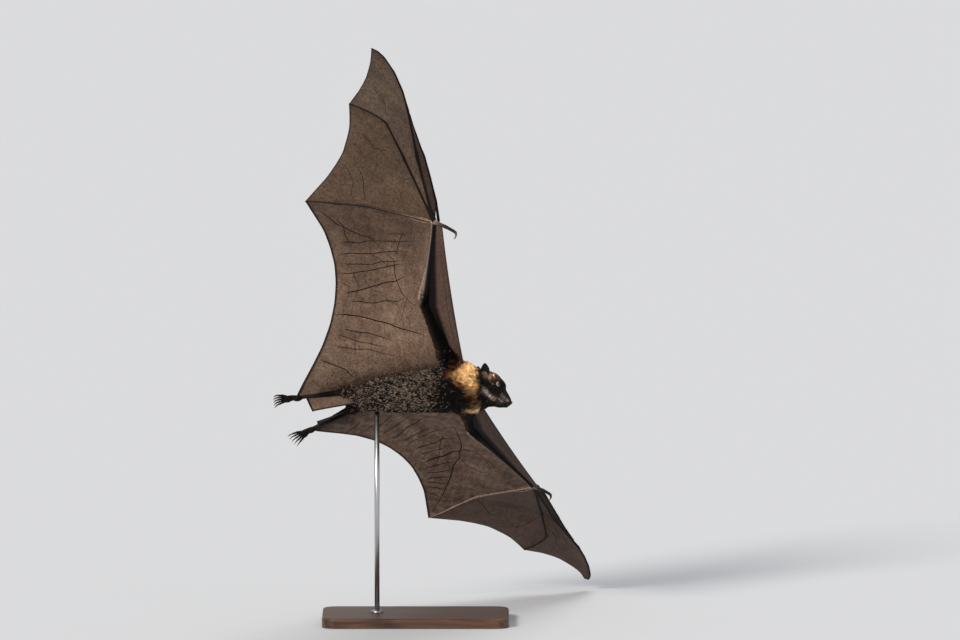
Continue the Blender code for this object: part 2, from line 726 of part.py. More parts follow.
    # Arm skin behind the arm: from the flank and shin out to the fifth finger.
    flank = [
        Vector((0.0, side * 22 * MM, 3 * MM)),
        Vector((-70 * MM, side * 20 * MM, 3 * MM)),
        Vector((-135 * MM, side * 14 * MM, 0.0)),
        knee,
        ankle + foot_way * 4 * MM,
    ]
    body_side = Route(flank)
    arm_side = Route([flank[0], shoulder.lerp(elbow, 0.4), elbow, wrist])
    finger_side = routes[5]
    hem = ankle + foot_way * 4 * MM
    depth = Vector((ARM_EDGE[0], -side * ARM_EDGE[1], ARM_EDGE[2])) * pose["arm_edge_share"]
    free_edge = Route(bowed(hem, joints[5][2], depth, ARM_EDGE_SHAPE))
    grid = []
    for i in range(10):
        u = i / 9
        row = []
        for j in range(9):
            v = j / 8
            point = arm_side.at(u) * (1 - v) + free_edge.at(u) * v
            point = point + body_side.at(v) * (1 - u) + finger_side.at(v) * u
            point = point - flank[0] * (1 - u) * (1 - v) - wrist * u * (1 - v)
            point = point - hem * (1 - u) * v - joints[5][2] * u * v
            point = point + dorsal * BILLOW * sin(pi * u) * sin(pi * v * 0.8)
            row.append(point)
        grid.append(row)
    tools = all_bones + flesh + shin_cutter + foot_cutter
    carve(sheet(f"arm_skin_{label}", grid, WING_SKIN), tools)

    # Leading skin ahead of the arm, from the shoulder to the thumb.
    start = Vector((19 * MM, side * 28 * MM, 4 * MM))
    end = wrist + thumb_way * 19 * MM
    draw = Vector((-1.0, 0.0, 0.0)) * 3.0 * MM
    grid = []
    for i in range(3):
        row = []
        for j in range(12):
            along = j / 11
            edge = start.lerp(end, along) + draw * 4 * along * (1 - along)
            arm_point = Route([shoulder, elbow, wrist]).at(along)
            row.append(edge.lerp(arm_point, i / 2))
        grid.append(row)
    carve(sheet(f"leading_skin_{label}", grid, WING_SKIN), all_bones + flesh)


for label in ("right", "left"):
    wing(label)

# ---------------------------------------------------------------- stand

TO_ANIMAL = ROW.inverted()


def slab(name, size, corner, edge, skin):
    """Rounded board on the floor with an eased top edge."""
    outline = []
    for quarter in range(4):
        cx = (size[0] / 2 - corner) * (1 if quarter in (0, 3) else -1)
        cy = (size[1] / 2 - corner) * (1 if quarter in (0, 1) else -1)
        for k in range(4):
            angle = pi / 2 * (quarter + k / 3)
            outline.append((cx, cy, cos(angle), sin(angle)))
    rings = []
    top = size[2]
    profile = ((0.0, edge / 2), (edge / 2, 0.0), (top - edge, 0.0), (top - edge / 3, edge / 3), (top, edge))
    for z, inset in profile:
        ring = []
        for cx, cy, nx, ny in outline:
            ring.append(TO_ANIMAL @ Vector((cx + nx * (corner - inset), cy + ny * (corner - inset), z)))
        rings.append(ring)
    return loft(name, rings, skin)


slab("stand_base", BASE, BASE_CORNER, 3 * MM, STAND_WOOD)
rod_path = []
for z in (BASE[2] + GAP, BASE[2] + 4 * MM, BASE[2] + 4.5 * MM, SHOULDER_HEIGHT - 20 * MM):
    rod_path.append(TO_ANIMAL @ Vector((ROD_FOOT.x, ROD_FOOT.y, z)))
rod = loft("stand_rod", tube_rings(rod_path, [10 * MM, 10 * MM, ROD_RADIUS, ROD_RADIUS], 16), STAND_STEEL)
carve(rod, trunk_cutter)
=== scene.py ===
"""Looks of the flying fox on its display stand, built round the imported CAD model. Metres, +Z up."""

from math import cos, pi, radians, sin

import bmesh
import bpy
import numpy as np
from mathutils import Matrix, Vector


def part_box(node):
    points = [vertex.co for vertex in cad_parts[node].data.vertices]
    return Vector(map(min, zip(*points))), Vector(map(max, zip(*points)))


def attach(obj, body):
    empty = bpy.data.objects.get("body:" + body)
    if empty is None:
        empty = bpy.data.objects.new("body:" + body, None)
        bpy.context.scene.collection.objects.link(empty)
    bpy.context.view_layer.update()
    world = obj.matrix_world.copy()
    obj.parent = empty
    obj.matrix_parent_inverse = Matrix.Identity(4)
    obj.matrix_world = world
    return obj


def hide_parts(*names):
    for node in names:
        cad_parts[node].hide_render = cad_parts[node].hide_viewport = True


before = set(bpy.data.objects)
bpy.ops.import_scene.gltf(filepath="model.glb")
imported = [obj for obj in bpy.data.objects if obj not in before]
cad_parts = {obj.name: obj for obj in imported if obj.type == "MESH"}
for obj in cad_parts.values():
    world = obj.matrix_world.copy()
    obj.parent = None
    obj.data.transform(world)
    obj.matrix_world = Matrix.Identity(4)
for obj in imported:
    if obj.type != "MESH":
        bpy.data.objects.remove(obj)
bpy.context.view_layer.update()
MM = 0.001

# ------------------------------------------------------------------ stand base
# A board of dark walnut with rounded corners and an eased top edge, oiled and rubbed to a satin.
# It is heavy enough to keep the animal from tipping, and lies flat on the floor.


def linear(code):
    """sRGB hex colour as linear RGBA."""
    values = [int(code[i:i + 2], 16) / 255 for i in (1, 3, 5)]
    return [v / 12.92 if v <= 0.04045 else ((v + 0.055) / 1.055) ** 2.4 for v in values] + [1.0]


def start_material(name):
    made = bpy.data.materials.new(name)
    made.use_nodes = True
    return made, made.node_tree, made.node_tree.nodes["Principled BSDF"]


def wire(tree, node, inputs=(), links=()):
    """Sets sockets of a node to values, or links them to (node, output) pairs."""
    for name, value in dict(inputs).items():
        node.inputs[name].default_value = value
    for name, (source, output) in dict(links).items():
        tree.links.new(source.outputs[output], node.inputs[name])
    return node


def add_node(tree, kind, settings=(), inputs=(), links=(), stops=()):
    """Adds a node with its settings, sockets and links, and the (place, hex colour) stops of a ramp."""
    node = tree.nodes.new("ShaderNode" + kind)
    for name, value in dict(settings).items():
        setattr(node, name, value)
    for i, (place, code) in enumerate(stops):
        element = node.color_ramp.elements[i] if i < 2 else node.color_ramp.elements.new(place)
        element.position, element.color = place, linear(code)
    return wire(tree, node, inputs, links)


def cells(size):
    """Scale of a pattern whose cells are this many millimetres wide, to two figures."""
    return float(f"{1 / (size * MM):.2g}")


def finish_piece(name, mesh, material, replaced=(), smooth=True):
    """Puts a finished mesh in the scene as one piece of the object."""
    mesh.name = name
    mesh.materials.clear()
    mesh.materials.append(material)
    mesh.polygons.foreach_set("use_smooth", [smooth] * len(mesh.polygons))
    piece = bpy.data.objects.new(name, mesh)
    bpy.context.scene.collection.objects.link(piece)
    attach(piece, "root")
    if replaced:
        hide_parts(*replaced)


# Oiled walnut: brown heartwood with darker growth lines 6 mm apart along the board, and short open
# pores, which are drawn coarser than they are so that they show.
walnut, tree, shader = start_material("oiled_walnut")
coords = add_node(tree, "TexCoord")
along = add_node(tree, "Mapping", inputs={"Scale": (cells(167), cells(6.2), cells(16.7))},
                 links={"Vector": (coords, "Object")})
wander = add_node(tree, "TexNoise", inputs={"Scale": 1.0, "Detail": 5.0, "Distortion": 1.2},
                  links={"Vector": (along, "Vector")})
heartwood = ((0.3, "#2a1a12"), (0.47, "#4a3020"), (0.55, "#5b3d29"), (0.7, "#3a2519"))
bands = add_node(tree, "ValToRGB", links={"Fac": (wander, "Fac")}, stops=heartwood)
pore_map = add_node(tree, "Mapping", inputs={"Scale": (cells(11.1), cells(0.71), cells(1.43))},
                    links={"Vector": (coords, "Object")})
pores = add_node(tree, "TexNoise", inputs={"Scale": 1.0, "Detail": 2.0},
                 links={"Vector": (pore_map, "Vector")})
pore_depth = add_node(tree, "Bump", inputs={"Strength": 0.25, "Distance": 0.0002},
                      links={"Height": (pores, "Fac")})
wire(tree, shader, {"Roughness": 0.42, "IOR": 1.5},
     {"Base Color": (bands, "Color"), "Normal": (pore_depth, "Normal")})

BASE_CORNER = 22 * MM
TOP_EASE, FOOT_EASE = 3 * MM, 0.75 * MM


def round_over(shape, edges, size, steps):
    bmesh.ops.bevel(shape, geom=edges, offset=size, segments=steps, profile=0.5, affect="EDGES", material=-1)


base_low, base_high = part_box("stand_base")
base_size = base_high - base_low
board = bmesh.new()
bmesh.ops.create_cube(board, size=1.0)
bmesh.ops.scale(board, vec=base_size, verts=board.verts)
bmesh.ops.translate(board, vec=(base_low + base_high) / 2, verts=board.verts)
uprights = [e for e in board.edges if abs(e.verts[0].co.z - e.verts[1].co.z) > base_size.z / 2]
round_over(board, uprights, BASE_CORNER, 10)
rims = [e for e in board.edges if len({round(v.co.z, 5) for v in e.verts}) == 1
        and len({abs(f.normal.z) > 0.5 for f in e.link_faces}) == 2]
low_rim = [e for e in rims if e.verts[0].co.z < base_size.z / 2]
top_rim = [e for e in rims if e.verts[0].co.z > base_size.z / 2]
round_over(board, top_rim, TOP_EASE, 4)
round_over(board, low_rim, FOOT_EASE, 1)
board_mesh = bpy.data.meshes.new("stand_base_board")
board.to_mesh(board_mesh)
board.free()
finish_piece("stand_base_board", board_mesh, walnut, ["stand_base"], smooth=False)

# ------------------------------------------------------------------ stand rod
# One brushed steel rod, 8 mm thick, screwed into a turned collar on the board and hidden at its
# upper end in the coat of the belly.

ROD_RADIUS = 4 * MM
COLLAR_RADIUS = 10 * MM
COLLAR_HEIGHT = 4 * MM
ROD_HIDDEN = 9 * MM

# Stainless steel brushed round the rod: fine rings under half a millimetre apart.
steel, tree, shader = start_material("brushed_stainless_steel")
coords = add_node(tree, "TexCoord")
rings = add_node(tree, "Mapping", inputs={"Scale": (cells(6.7), cells(6.7), cells(0.38))},
                 links={"Vector": (coords, "Object")})
scratches = add_node(tree, "TexNoise", inputs={"Scale": 1.0, "Detail": 3.0},
                     links={"Vector": (rings, "Vector")})
polish = add_node(tree, "MapRange", inputs={"To Min": 0.24, "To Max": 0.42},
                  links={"Value": (scratches, "Fac")})
wire(tree, shader, {"Base Color": linear("#b9b9ba"), "Metallic": 1.0}, {"Roughness": (polish, "Result")})

rod_low, rod_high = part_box("stand_rod")
rod_centre = (rod_low + rod_high) / 2
rod = bmesh.new()


def turned(radius_low, radius_high, z_low, z_high, around):
    """Cylinder or cone standing on the rod's own axis."""
    place = Matrix.Translation((rod_centre.x, rod_centre.y, (z_low + z_high) / 2))
    bmesh.ops.create_cone(rod, cap_ends=True, segments=around, radius1=radius_low, radius2=radius_high,
                          depth=z_high - z_low, matrix=place)


shoulder_height = base_high.z + COLLAR_HEIGHT * 0.7
collar_top = base_high.z + COLLAR_HEIGHT
turned(COLLAR_RADIUS, COLLAR_RADIUS, base_high.z, shoulder_height, 40)
turned(COLLAR_RADIUS, COLLAR_RADIUS * 0.8, shoulder_height, collar_top, 40)
turned(ROD_RADIUS, ROD_RADIUS, collar_top, rod_high.z + ROD_HIDDEN, 32)
rod_mesh = bpy.data.meshes.new("stand_rod_steel")
rod.to_mesh(rod_mesh)
rod.free()
finish_piece("stand_rod_steel", rod_mesh, steel, ["stand_rod"])
for face in rod_mesh.polygons:
    face.use_smooth = abs(face.normal.z) < 0.5

# ------------------------------------------------------------------ wings, arm part
# A bat's wing is a double sheet of hairless skin, thinner than paper between its bones, with a cord in
# its free edge. The arm part spans from flank and shin to the fifth finger, and ahead of the arm.
# Bone lengths and angles are the CAD's. The animal's axes are +X to the nose, +Y left and +Z to its back.

BANK, PITCH, YAW = -51.9, -7.0, -19.2
SHOULDER_HEIGHT = 390 * MM
HIP_OFFSET = -140 * MM
HUMERUS, FOREARM = 118 * MM, 170 * MM
METACARPALS = {3: 115 * MM, 4: 113 * MM, 5: 118 * MM}
FIRST_PHALANGES = {3: 86 * MM, 4: 69 * MM, 5: 46 * MM}
LAST_PHALANGES = {3: 117 * MM, 4: 66 * MM, 5: 49 * MM}
SHIN = 78 * MM
SHOULDER = (0.0, 31 * MM, 1.5 * MM)
KNEE = (-184.5 * MM, 17.8 * MM, -12.5 * MM)
NOSE = (83.1 * MM, 37.6 * MM, -13.7 * MM)
HEAD_TURN = (31.8, 7.1, 48.6)
POSE = {
    "right": {
        "side": -1, "humerus": (-14.3, 24.3), "forearm": (21.9, 5.3), "thumb": (95.1, -31.8),
        "thumb_length": 47 * MM, "thumb_claw_way": (-0.4, 0.45, -0.75), "tip_bow": 14 * MM,
        "second": (8.0, 11.8, 12.4, 11.6, 9.0, 6.3, 3.6, 1.9),
        3: ((0.3, 16.0), (4.8, 12.5), (-17.9, 16.8)),
        4: ((-15.2, 23.0), (-10.3, 11.4), (-55.8, 10.3)),
        5: ((-74.9, 10.2), (-72.5, -5.2), (-72.5, -5.2)),
        "shin": (-75.5, -18.0), "foot": (-76.0, -20.0), "claw_curl": 70, "arm_edge_share": 1.0,
    },
    "left": {
        "side": 1, "humerus": (-17.4, 20.4), "forearm": (19.6, 6.9), "thumb": (92.7, -34.3),
        "thumb_length": 41 * MM, "thumb_claw_way": (-0.1, 0.3, -0.9), "tip_bow": 7.5 * MM,
        "second": (7.0, 9.5, 8.6, 7.8, 5.2, 3.6, 2.2),
        3: ((-1.8, 17.4), (8.1, 12.6), (-12.0, 18.0)),
        4: ((-14.3, 22.9), (-11.6, 11.0), (-55.6, 10.6)),
        5: ((-75.2, 9.9), (-72.5, -6.3), (-72.5, -6.3)),
        "shin": (-74.9, -15.5), "foot": (-70.0, -14.0), "claw_curl": 60, "arm_edge_share": 0.95,
    },
}
DORSAL = np.array((0.0, 0.0, 1.0))
MEMBRANE = 0.55 * MM
BILLOW = 9 * MM
ARM_EDGE = (53 * MM, 10 * MM, 29 * MM)
ARM_EDGE_SHAPE = ((0, 0), (0.07, 0.2), (0.14, 0.43), (0.22, 0.66), (0.32, 0.85), (0.42, 0.94), (0.52, 0.95),
                  (0.62, 0.89), (0.72, 0.74), (0.82, 0.54), (0.91, 0.27), (1, 0))
# Bow of a finger's last bone: blunt at the wing tip, else round.
BOW_MARKS = np.array((0.3, 0.6, 0.85, 0.95, 1.0))
BLUNT_BOW = np.array((0.67, 1.0, 0.85, 0.5, 0.0))
ROUND_BOW = np.array((0.84, 0.96, 0.51, 0.19, 0.0))

# Wing skin colours: brown, greyer towards the hand and near black at hems; painted shade darkens it where it
# meets the coat, and pale painted highlights lie beside threads and on joints.
SKIN_ARM = linear("#6c594d")
SKIN_ARM_PALE = linear("#877565")
SKIN_FAR = linear("#5f4d47")
SKIN_DARK = linear("#2a201d")
SKIN_HEM = linear("#1a1514")
SKIN_SHADOW = linear("#0d0b0b")
THREAD = linear("#1e1410")
THREAD_PALE = linear("#8a7565")
# Pale tint of painted highlights on the wrist, the joints, the elbow and the back of the forearm.
JOINT_HIGHLIGHT = linear("#c4aea2")

# Threads of muscle and branching vessels of the skin, each as half width in mm and then places, as
# (u, v) on the panel.
ARM_THREADS = {
    "right": (
        (0.62, (0.76, 0.89), (0.77, 0.59), (0.82, 0.23)), (0.62, (0.7, 0.92), (0.7, 0.6), (0.75, 0.23)),
        (0.55, (0.65, 0.93), (0.64, 0.61), (0.69, 0.22)), (0.62, (0.6, 0.95), (0.61, 0.6), (0.67, 0.24)),
        (0.75, (0.5, 0.9), (0.52, 0.58), (0.55, 0.36), (0.6, 0.21)),
        (0.62, (0.46, 0.84), (0.43, 0.58), (0.43, 0.31), (0.46, 0.2)),
        (0.75, (0.41, 0.97), (0.35, 0.6), (0.27, 0.27), (0.22, 0.06)),
        (0.6, (0.33, 0.86), (0.28, 0.6), (0.22, 0.38)), (0.5, (0.3, 0.9), (0.23, 0.59), (0.17, 0.4)),
        (0.5, (0.25, 0.9), (0.2, 0.62), (0.13, 0.35)), (0.65, (0.19, 0.96), (0.11, 0.73), (0.03, 0.62)),
        (0.45, (0.09, 0.95), (0.03, 0.86)), (0.4, (0.84, 0.42), (0.87, 0.2)),
        (0.4, (0.8, 0.34), (0.83, 0.16)), (0.4, (0.56, 0.95), (0.53, 0.85)),
    ),
    "left": (
        (0.5, (0.18, 0.96), (0.17, 0.86), (0.15, 0.79)), (0.45, (0.25, 0.91), (0.24, 0.86), (0.23, 0.8)),
        (0.5, (0.29, 0.9), (0.26, 0.71), (0.24, 0.64)), (0.5, (0.35, 0.9), (0.34, 0.77), (0.31, 0.56)),
        (0.6, (0.41, 0.92), (0.41, 0.75), (0.39, 0.57), (0.3, 0.36)),
        (0.55, (0.46, 0.87), (0.47, 0.75), (0.47, 0.47)), (0.5, (0.5, 0.85), (0.51, 0.67), (0.49, 0.37)),
        (0.55, (0.55, 0.86), (0.58, 0.63), (0.56, 0.33)), (0.5, (0.6, 0.86), (0.63, 0.64), (0.62, 0.4)),
        (0.75, (0.66, 0.86), (0.68, 0.65), (0.67, 0.42)), (0.55, (0.7, 0.87), (0.72, 0.74), (0.74, 0.58)),
        (0.55, (0.72, 0.92), (0.76, 0.78), (0.79, 0.66)), (0.55, (0.76, 0.93), (0.79, 0.82), (0.82, 0.7)),
        (0.5, (0.78, 0.94), (0.82, 0.84), (0.85, 0.74)), (0.5, (0.81, 0.95), (0.84, 0.86), (0.88, 0.78)),
        (0.45, (0.85, 0.95), (0.88, 0.9), (0.91, 0.85)),
    ),
}
ARM_VESSELS = {
    "right": (
        (0.7, (0.96, 0.94), (0.87, 0.85), (0.83, 0.76), (0.79, 0.59), (0.71, 0.46)),
        (0.65, (0.71, 0.46), (0.69, 0.38), (0.58, 0.37), (0.46, 0.26), (0.4, 0.09)),
        (0.5, (0.89, 0.84), (0.86, 0.8), (0.8, 0.82), (0.74, 0.79)),
        (0.5, (0.71, 0.36), (0.84, 0.29), (0.89, 0.25)), (0.45, (0.7, 0.62), (0.65, 0.49), (0.61, 0.37)),
        (0.4, (0.61, 0.83), (0.52, 0.76), (0.45, 0.82)), (0.35, (0.6, 0.75), (0.5, 0.62), (0.47, 0.5)),
        (0.4, (0.5, 0.55), (0.44, 0.44), (0.4, 0.3)), (0.45, (0.29, 0.74), (0.17, 0.69)),
        (0.35, (0.45, 0.2), (0.33, 0.3), (0.27, 0.28)),
    ),
    "left": (
        (0.85, (0.42, 0.2), (0.51, 0.26), (0.58, 0.33), (0.66, 0.41), (0.69, 0.48), (0.73, 0.51),
         (0.78, 0.64), (0.84, 0.73), (0.89, 0.82), (0.93, 0.89), (0.98, 0.97)),
        (0.6, (0.66, 0.41), (0.67, 0.27), (0.73, 0.23), (0.8, 0.19), (0.83, 0.17)),
        (0.5, (0.73, 0.51), (0.78, 0.49), (0.82, 0.42), (0.85, 0.32)),
        (0.5, (0.51, 0.43), (0.58, 0.56), (0.64, 0.65), (0.69, 0.75), (0.73, 0.84)),
        (0.4, (0.67, 0.27), (0.65, 0.12), (0.67, 0.06)), (0.4, (0.6, 0.95), (0.63, 0.9), (0.7, 0.86)),
        (0.4, (0.73, 0.23), (0.78, 0.24), (0.83, 0.27)), (0.4, (0.9, 0.82), (0.95, 0.79), (0.99, 0.77)),
    ),
}

def turned_frame(roll, nod, turn):
    matrix = Matrix.Rotation(radians(turn), 4, "Z") @ Matrix.Rotation(radians(nod), 4, "Y")
    return matrix @ Matrix.Rotation(radians(roll), 4, "X")


ROW = turned_frame(BANK, PITCH, YAW)
hip = ROW @ Vector((HIP_OFFSET, 0, 0))
ROW.translation = Vector((rod_centre.x - hip.x, rod_centre.y - hip.y, SHOULDER_HEIGHT))
HEAD = turned_frame(*HEAD_TURN)
HEAD.translation = Vector(NOSE)
UNROW, UNHEAD = ROW.inverted(), HEAD.inverted()


def moved_by(matrix, points):
    """A frame's points, as an array, taken through a matrix."""
    m = np.array(matrix)
    return np.asarray(points, float) @ m[:3, :3].T + m[:3, 3]


def turned_by(matrix, directions):
    return np.asarray(directions, float) @ np.array(matrix)[:3, :3].T


def unit(vectors):
    return vectors / np.maximum(np.linalg.norm(vectors, axis=-1, keepdims=True), 1e-12)


def between(a, b, share):
    return a + (b - a) * np.asarray(share, float)[..., None]


def blend(a, b, share):
    share = np.asarray(share, float)[..., None]
    return np.asarray(a)[..., :3] * (1 - share) + np.asarray(b)[..., :3] * share


def ramp(low, high, value):
    """Smooth rise from 0 to 1 between two values."""
    share = np.clip((value - low) / (high - low), 0, 1)
    return share * share * (3 - 2 * share)


def bell(*away):
    """1 where these distances are 0, and less round it."""
    return np.exp(-sum(distance**2 for distance in away))


def patches(points, size, seed):
    """Soft random field between 0 and 1 that changes over `size`."""
    chance = np.random.default_rng(seed)
    ways = unit(chance.normal(size=(14, 3)))
    rates = chance.uniform(0.5, 1.6, 14) * 2 * pi / size
    starts = chance.uniform(0, 2 * pi, 14)
    total = np.sin((points @ ways.T) * rates + starts).sum(-1)
    return 0.5 + 0.5 * np.tanh(total / 4)


class Route:
    """Line through points, read by the share of its length, with its bends a little rounded."""

    def __init__(self, points, soften=0.0):
        points = np.array([list(p) for p in points], float)
        steps = np.linalg.norm(np.diff(points, axis=0), axis=1)
        self.marks = np.concatenate([[0.0], np.cumsum(steps)]) / steps.sum()
        self.fine = np.linspace(0, 1, 401)
        path = np.stack([np.interp(self.fine, self.marks, column) for column in points.T], 1)
        half = int(soften * 200)
        if half:
            before, after = 2 * path[0] - path[half:0:-1], 2 * path[-1] - path[-2:-half - 2:-1]
            padded = np.concatenate([before, path, after])
            kernel = np.hanning(2 * half + 3)[1:-1]
            kernel = kernel / kernel.sum()
            path = np.stack([np.convolve(column, kernel, "valid") for column in padded.T], 1)
        self.path = path

    def at(self, share):
        share = np.asarray(share, float)
        return np.stack([np.interp(share, self.fine, column) for column in self.path.T], -1)


def out_from(side, angles):
    sweep, lift = (radians(angle) for angle in angles)
    return np.array((sin(sweep) * cos(lift), side * cos(sweep) * cos(lift), sin(lift)))


def finger_routes(bones, pose):
    """Lines of the fingers out to their tips; the second runs just ahead of the third."""
    routes = {}
    wrist = bones["wrist"]
    for digit in (3, 4, 5):
        knuckle, middle, tip = bones[digit]
        bow = {3: pose["tip_bow"], 4: 6.5 * MM, 5: 3 * MM}[digit]
        lead = np.outer(BLUNT_BOW if digit == 3 else ROUND_BOW, (bow, 0, 0))
        routes[digit] = Route([wrist, knuckle, middle, *(between(middle, tip, BOW_MARKS) + lead)], 0.03)
    knuckle, middle, tip = bones[3]
    ahead = np.array((1.0, 0.0, 0.15)) / np.hypot(1, 0.15)
    quarters = len(pose["second"]) - 4
    outer = 0.25 * np.arange(1, quarters + 1) - 0.08 * (quarters == 4)
    beside = np.concatenate([between(wrist, knuckle, (0, 0.3, 0.68, 1)), between(knuckle, middle, outer)])
    routes["second"] = second = beside + np.outer(pose["second"], ahead * MM)
    routes["second_end"] = 0.25 * quarters
    routes[2] = Route([wrist + ahead * 3 * MM, *second[1:]], 0.03)
    return routes


def build_skeleton(pose):
    side = pose["side"]
    mirror = np.array((1, side, 1))
    bones = {"side": side, "shoulder": np.array(SHOULDER) * mirror, "knee": np.array(KNEE) * mirror}
    bones["elbow"] = bones["shoulder"] + out_from(side, pose["humerus"]) * HUMERUS
    bones["wrist"] = bones["elbow"] + out_from(side, pose["forearm"]) * FOREARM
    for digit in (3, 4, 5):
        angles = pose[digit]
        knuckle = bones["wrist"] + out_from(side, angles[0]) * METACARPALS[digit]
        middle = knuckle + out_from(side, angles[1]) * FIRST_PHALANGES[digit]
        bones[digit] = (knuckle, middle, middle + out_from(side, angles[2]) * LAST_PHALANGES[digit])
    for part in ("thumb", "shin", "foot"):
        bones[part + "_way"] = out_from(side, pose[part])
    bones["ankle"] = bones["knee"] + bones["shin_way"] * SHIN
    bones["routes"] = finger_routes(bones, pose)
    return bones


SKELETON = {label: build_skeleton(pose) for label, pose in POSE.items()}


def bowed(start, end, depth, shape):
    share = np.linspace(0, 1, 33)
    depths = np.interp(share, [mark[0] for mark in shape], [mark[1] for mark in shape])
    return between(start, end, share) + depth * depths[:, None]


def arm_panel(bones):
    """From the flank and shin (u = 0) to the fifth finger (u = 1), arm (v = 0) to free edge (v = 1)."""
    side = bones["side"]
    start = np.array((0.0, side * 22 * MM, 3 * MM))
    hem = bones["ankle"] + bones["foot_way"] * 4 * MM
    tip, wrist, finger = bones[5][2], bones["wrist"], bones["routes"][5]
    flank = Route([start, (-70 * MM, side * 20 * MM, 3 * MM), (-135 * MM, side * 14 * MM, 0),
                   bones["knee"], hem], 0.05)
    shoulder_side = bones["shoulder"] + (bones["elbow"] - bones["shoulder"]) * 0.4
    arm = Route([start, shoulder_side, bones["elbow"], wrist])
    depth = np.array((ARM_EDGE[0], -side * ARM_EDGE[1], ARM_EDGE[2]))
    depth = depth * POSE["right" if side < 0 else "left"]["arm_edge_share"]
    free = Route(bowed(hem, tip, depth, ARM_EDGE_SHAPE), 0.06)

    def place(u, v):
        u, v = np.asarray(u, float), np.asarray(v, float)
        a, b = u[..., None], v[..., None]
        point = arm.at(u) * (1 - b) + free.at(u) * b + flank.at(v) * (1 - a) + finger.at(v) * a
        point = point - start * (1 - a) * (1 - b) - wrist * a * (1 - b) - hem * (1 - a) * b - tip * a * b
        swell = BILLOW * np.sin(pi * u) * np.sin(pi * v * 0.8)
        # Drawn folds run from arm to free edge, deepest in the middle of the panel.
        folds = 0.45 * MM * np.sin(pi * v) ** 2 * np.sin(2 * pi * (u * 15 + 0.5 * np.sin(4 * v) + 0.35 * v))
        folds = folds * np.sin(pi * u) ** 0.6
        return point + DORSAL * (swell + folds)[..., None]

    return place


def leading_panel(bones):
    """Ahead of the arm: u from the free edge to the arm, v from the shoulder to the thumb."""
    start = np.array((19 * MM, bones["side"] * 28 * MM, 4 * MM))
    end = bones["wrist"] + bones["thumb_way"] * 19 * MM
    arm = Route([bones["shoulder"], bones["elbow"], bones["wrist"]])
    draw = np.array((-3.0 * MM, 0, 0))

    def place(u, v):
        u, v = np.asarray(u, float), np.asarray(v, float)
        edge = between(start, end, v) + draw * (4 * v * (1 - v))[..., None]
        point = edge + (arm.at(v) - edge) * u[..., None]
        folds = 0.5 * MM * np.sin(2 * pi * (u * 2.6 + 0.2 * np.sin(9 * v))) * np.sin(pi * u) * np.sin(pi * v)
        return point + DORSAL * folds[..., None]

    return place


class Surfaces:
    """Grids collected into one mesh, each with its points and colours in rows and columns."""

    def __init__(self):
        self.shape = bmesh.new()
        self.parts = []

    def add(self, points, stain=(0, 0, 0)):
        """points: (rows, columns, 3), stain: the same or one colour."""
        rows, columns = points.shape[:2]
        bmesh.ops.create_grid(self.shape, x_segments=columns - 1, y_segments=rows - 1, size=1.0)
        stain = np.broadcast_to(np.asarray(stain, float)[..., :3], points.shape)
        self.parts.append((rows, columns, points, stain))

    def mesh(self, name, merge=0.02 * MM):
        """Moves the grids into place, keeps their colours as the attribute "stain" and joins edges."""
        made = bpy.data.meshes.new(name)
        self.shape.to_mesh(made)
        self.shape.free()
        plan = points_of(made)
        places, stains = [], []
        start = 0
        for rows, columns, points, stain in self.parts:
            spot = plan[start:start + rows * columns]
            row = np.rint((spot[:, 1] + 1) / 2 * (rows - 1)).astype(int)
            column = np.rint((spot[:, 0] + 1) / 2 * (columns - 1)).astype(int)
            places.append(points[row, column])
            stains.append(stain[row, column])
            start += rows * columns
        made.vertices.foreach_set("co", moved_by(ROW, np.concatenate(places)).ravel())
        set_stain(made, np.concatenate(stains))
        shape = bmesh.new()
        shape.from_mesh(made)
        bmesh.ops.remove_doubles(shape, verts=shape.verts, dist=merge)
        bmesh.ops.dissolve_degenerate(shape, edges=shape.edges, dist=merge / 2)
        bmesh.ops.recalc_face_normals(shape, faces=shape.faces)
        shape.to_mesh(made)
        shape.free()
        return made

    def finish(self, name, material, slot, replaced, merge=0.02 * MM):
        finish_piece(name, self.mesh(name, merge), material, replaced)


def points_of(mesh):
    found = np.empty(len(mesh.vertices) * 3)
    mesh.vertices.foreach_get("co", found)
    return found.reshape(-1, 3)


def set_stain(mesh, colours):
    layer = mesh.attributes.get("stain") or mesh.attributes.new("stain", "FLOAT_COLOR", "POINT")
    values = np.ones((len(mesh.vertices), 4))
    values[:, :3] = colours
    layer.data.foreach_set("color", values.ravel())


def tube(path, radii, sides, across=(0, 0, 1), flatten=1.0):
    """Rows of points round a path, closed to a rounded end at both ends."""
    path = np.asarray(path, float)
    radii = np.asarray(radii, float)
    along = unit(np.gradient(path, axis=0))
    wide = np.empty_like(along)
    last = np.asarray(across, float)
    for i, way in enumerate(along):
        # The ring turns as little as it can from one point of the path to the next.
        last = unit(last - way * (last @ way))
        wide[i] = last
    high = np.cross(along, wide)
    turn = np.linspace(0, 2 * pi, sides + 1)
    ring = wide[:, None] * np.cos(turn)[:, None] + high[:, None] * (np.sin(turn) * flatten)[:, None]
    body = path[:, None] + ring * radii[:, None, None]
    ends = []
    for i, way in ((0, -1), (-1, 1)):
        cap = []
        for lean in (0.5, 0.85, 1.0):
            shrink = np.sqrt(max(0.0, 1 - lean * lean))
            centre = path[i] + along[i] * way * radii[i] * lean * 0.7
            cap.append(centre + ring[i] * radii[i] * shrink)
        ends.append(np.array(cap if way > 0 else cap[::-1]))
    return np.concatenate([ends[0], body, ends[1]])


def along_bone(marks, radii, count):
    """Evenly spaced shares of a bone and its radii, given in mm, with the changes between marks eased."""
    share = np.linspace(0, 1, count)
    fine = np.interp(share, marks, np.array(radii) * MM)
    padded = np.concatenate([[fine[0]] * 2, fine, [fine[-1]] * 2])
    return share, np.convolve(padded, (0.1, 0.2, 0.4, 0.2, 0.1), "valid")


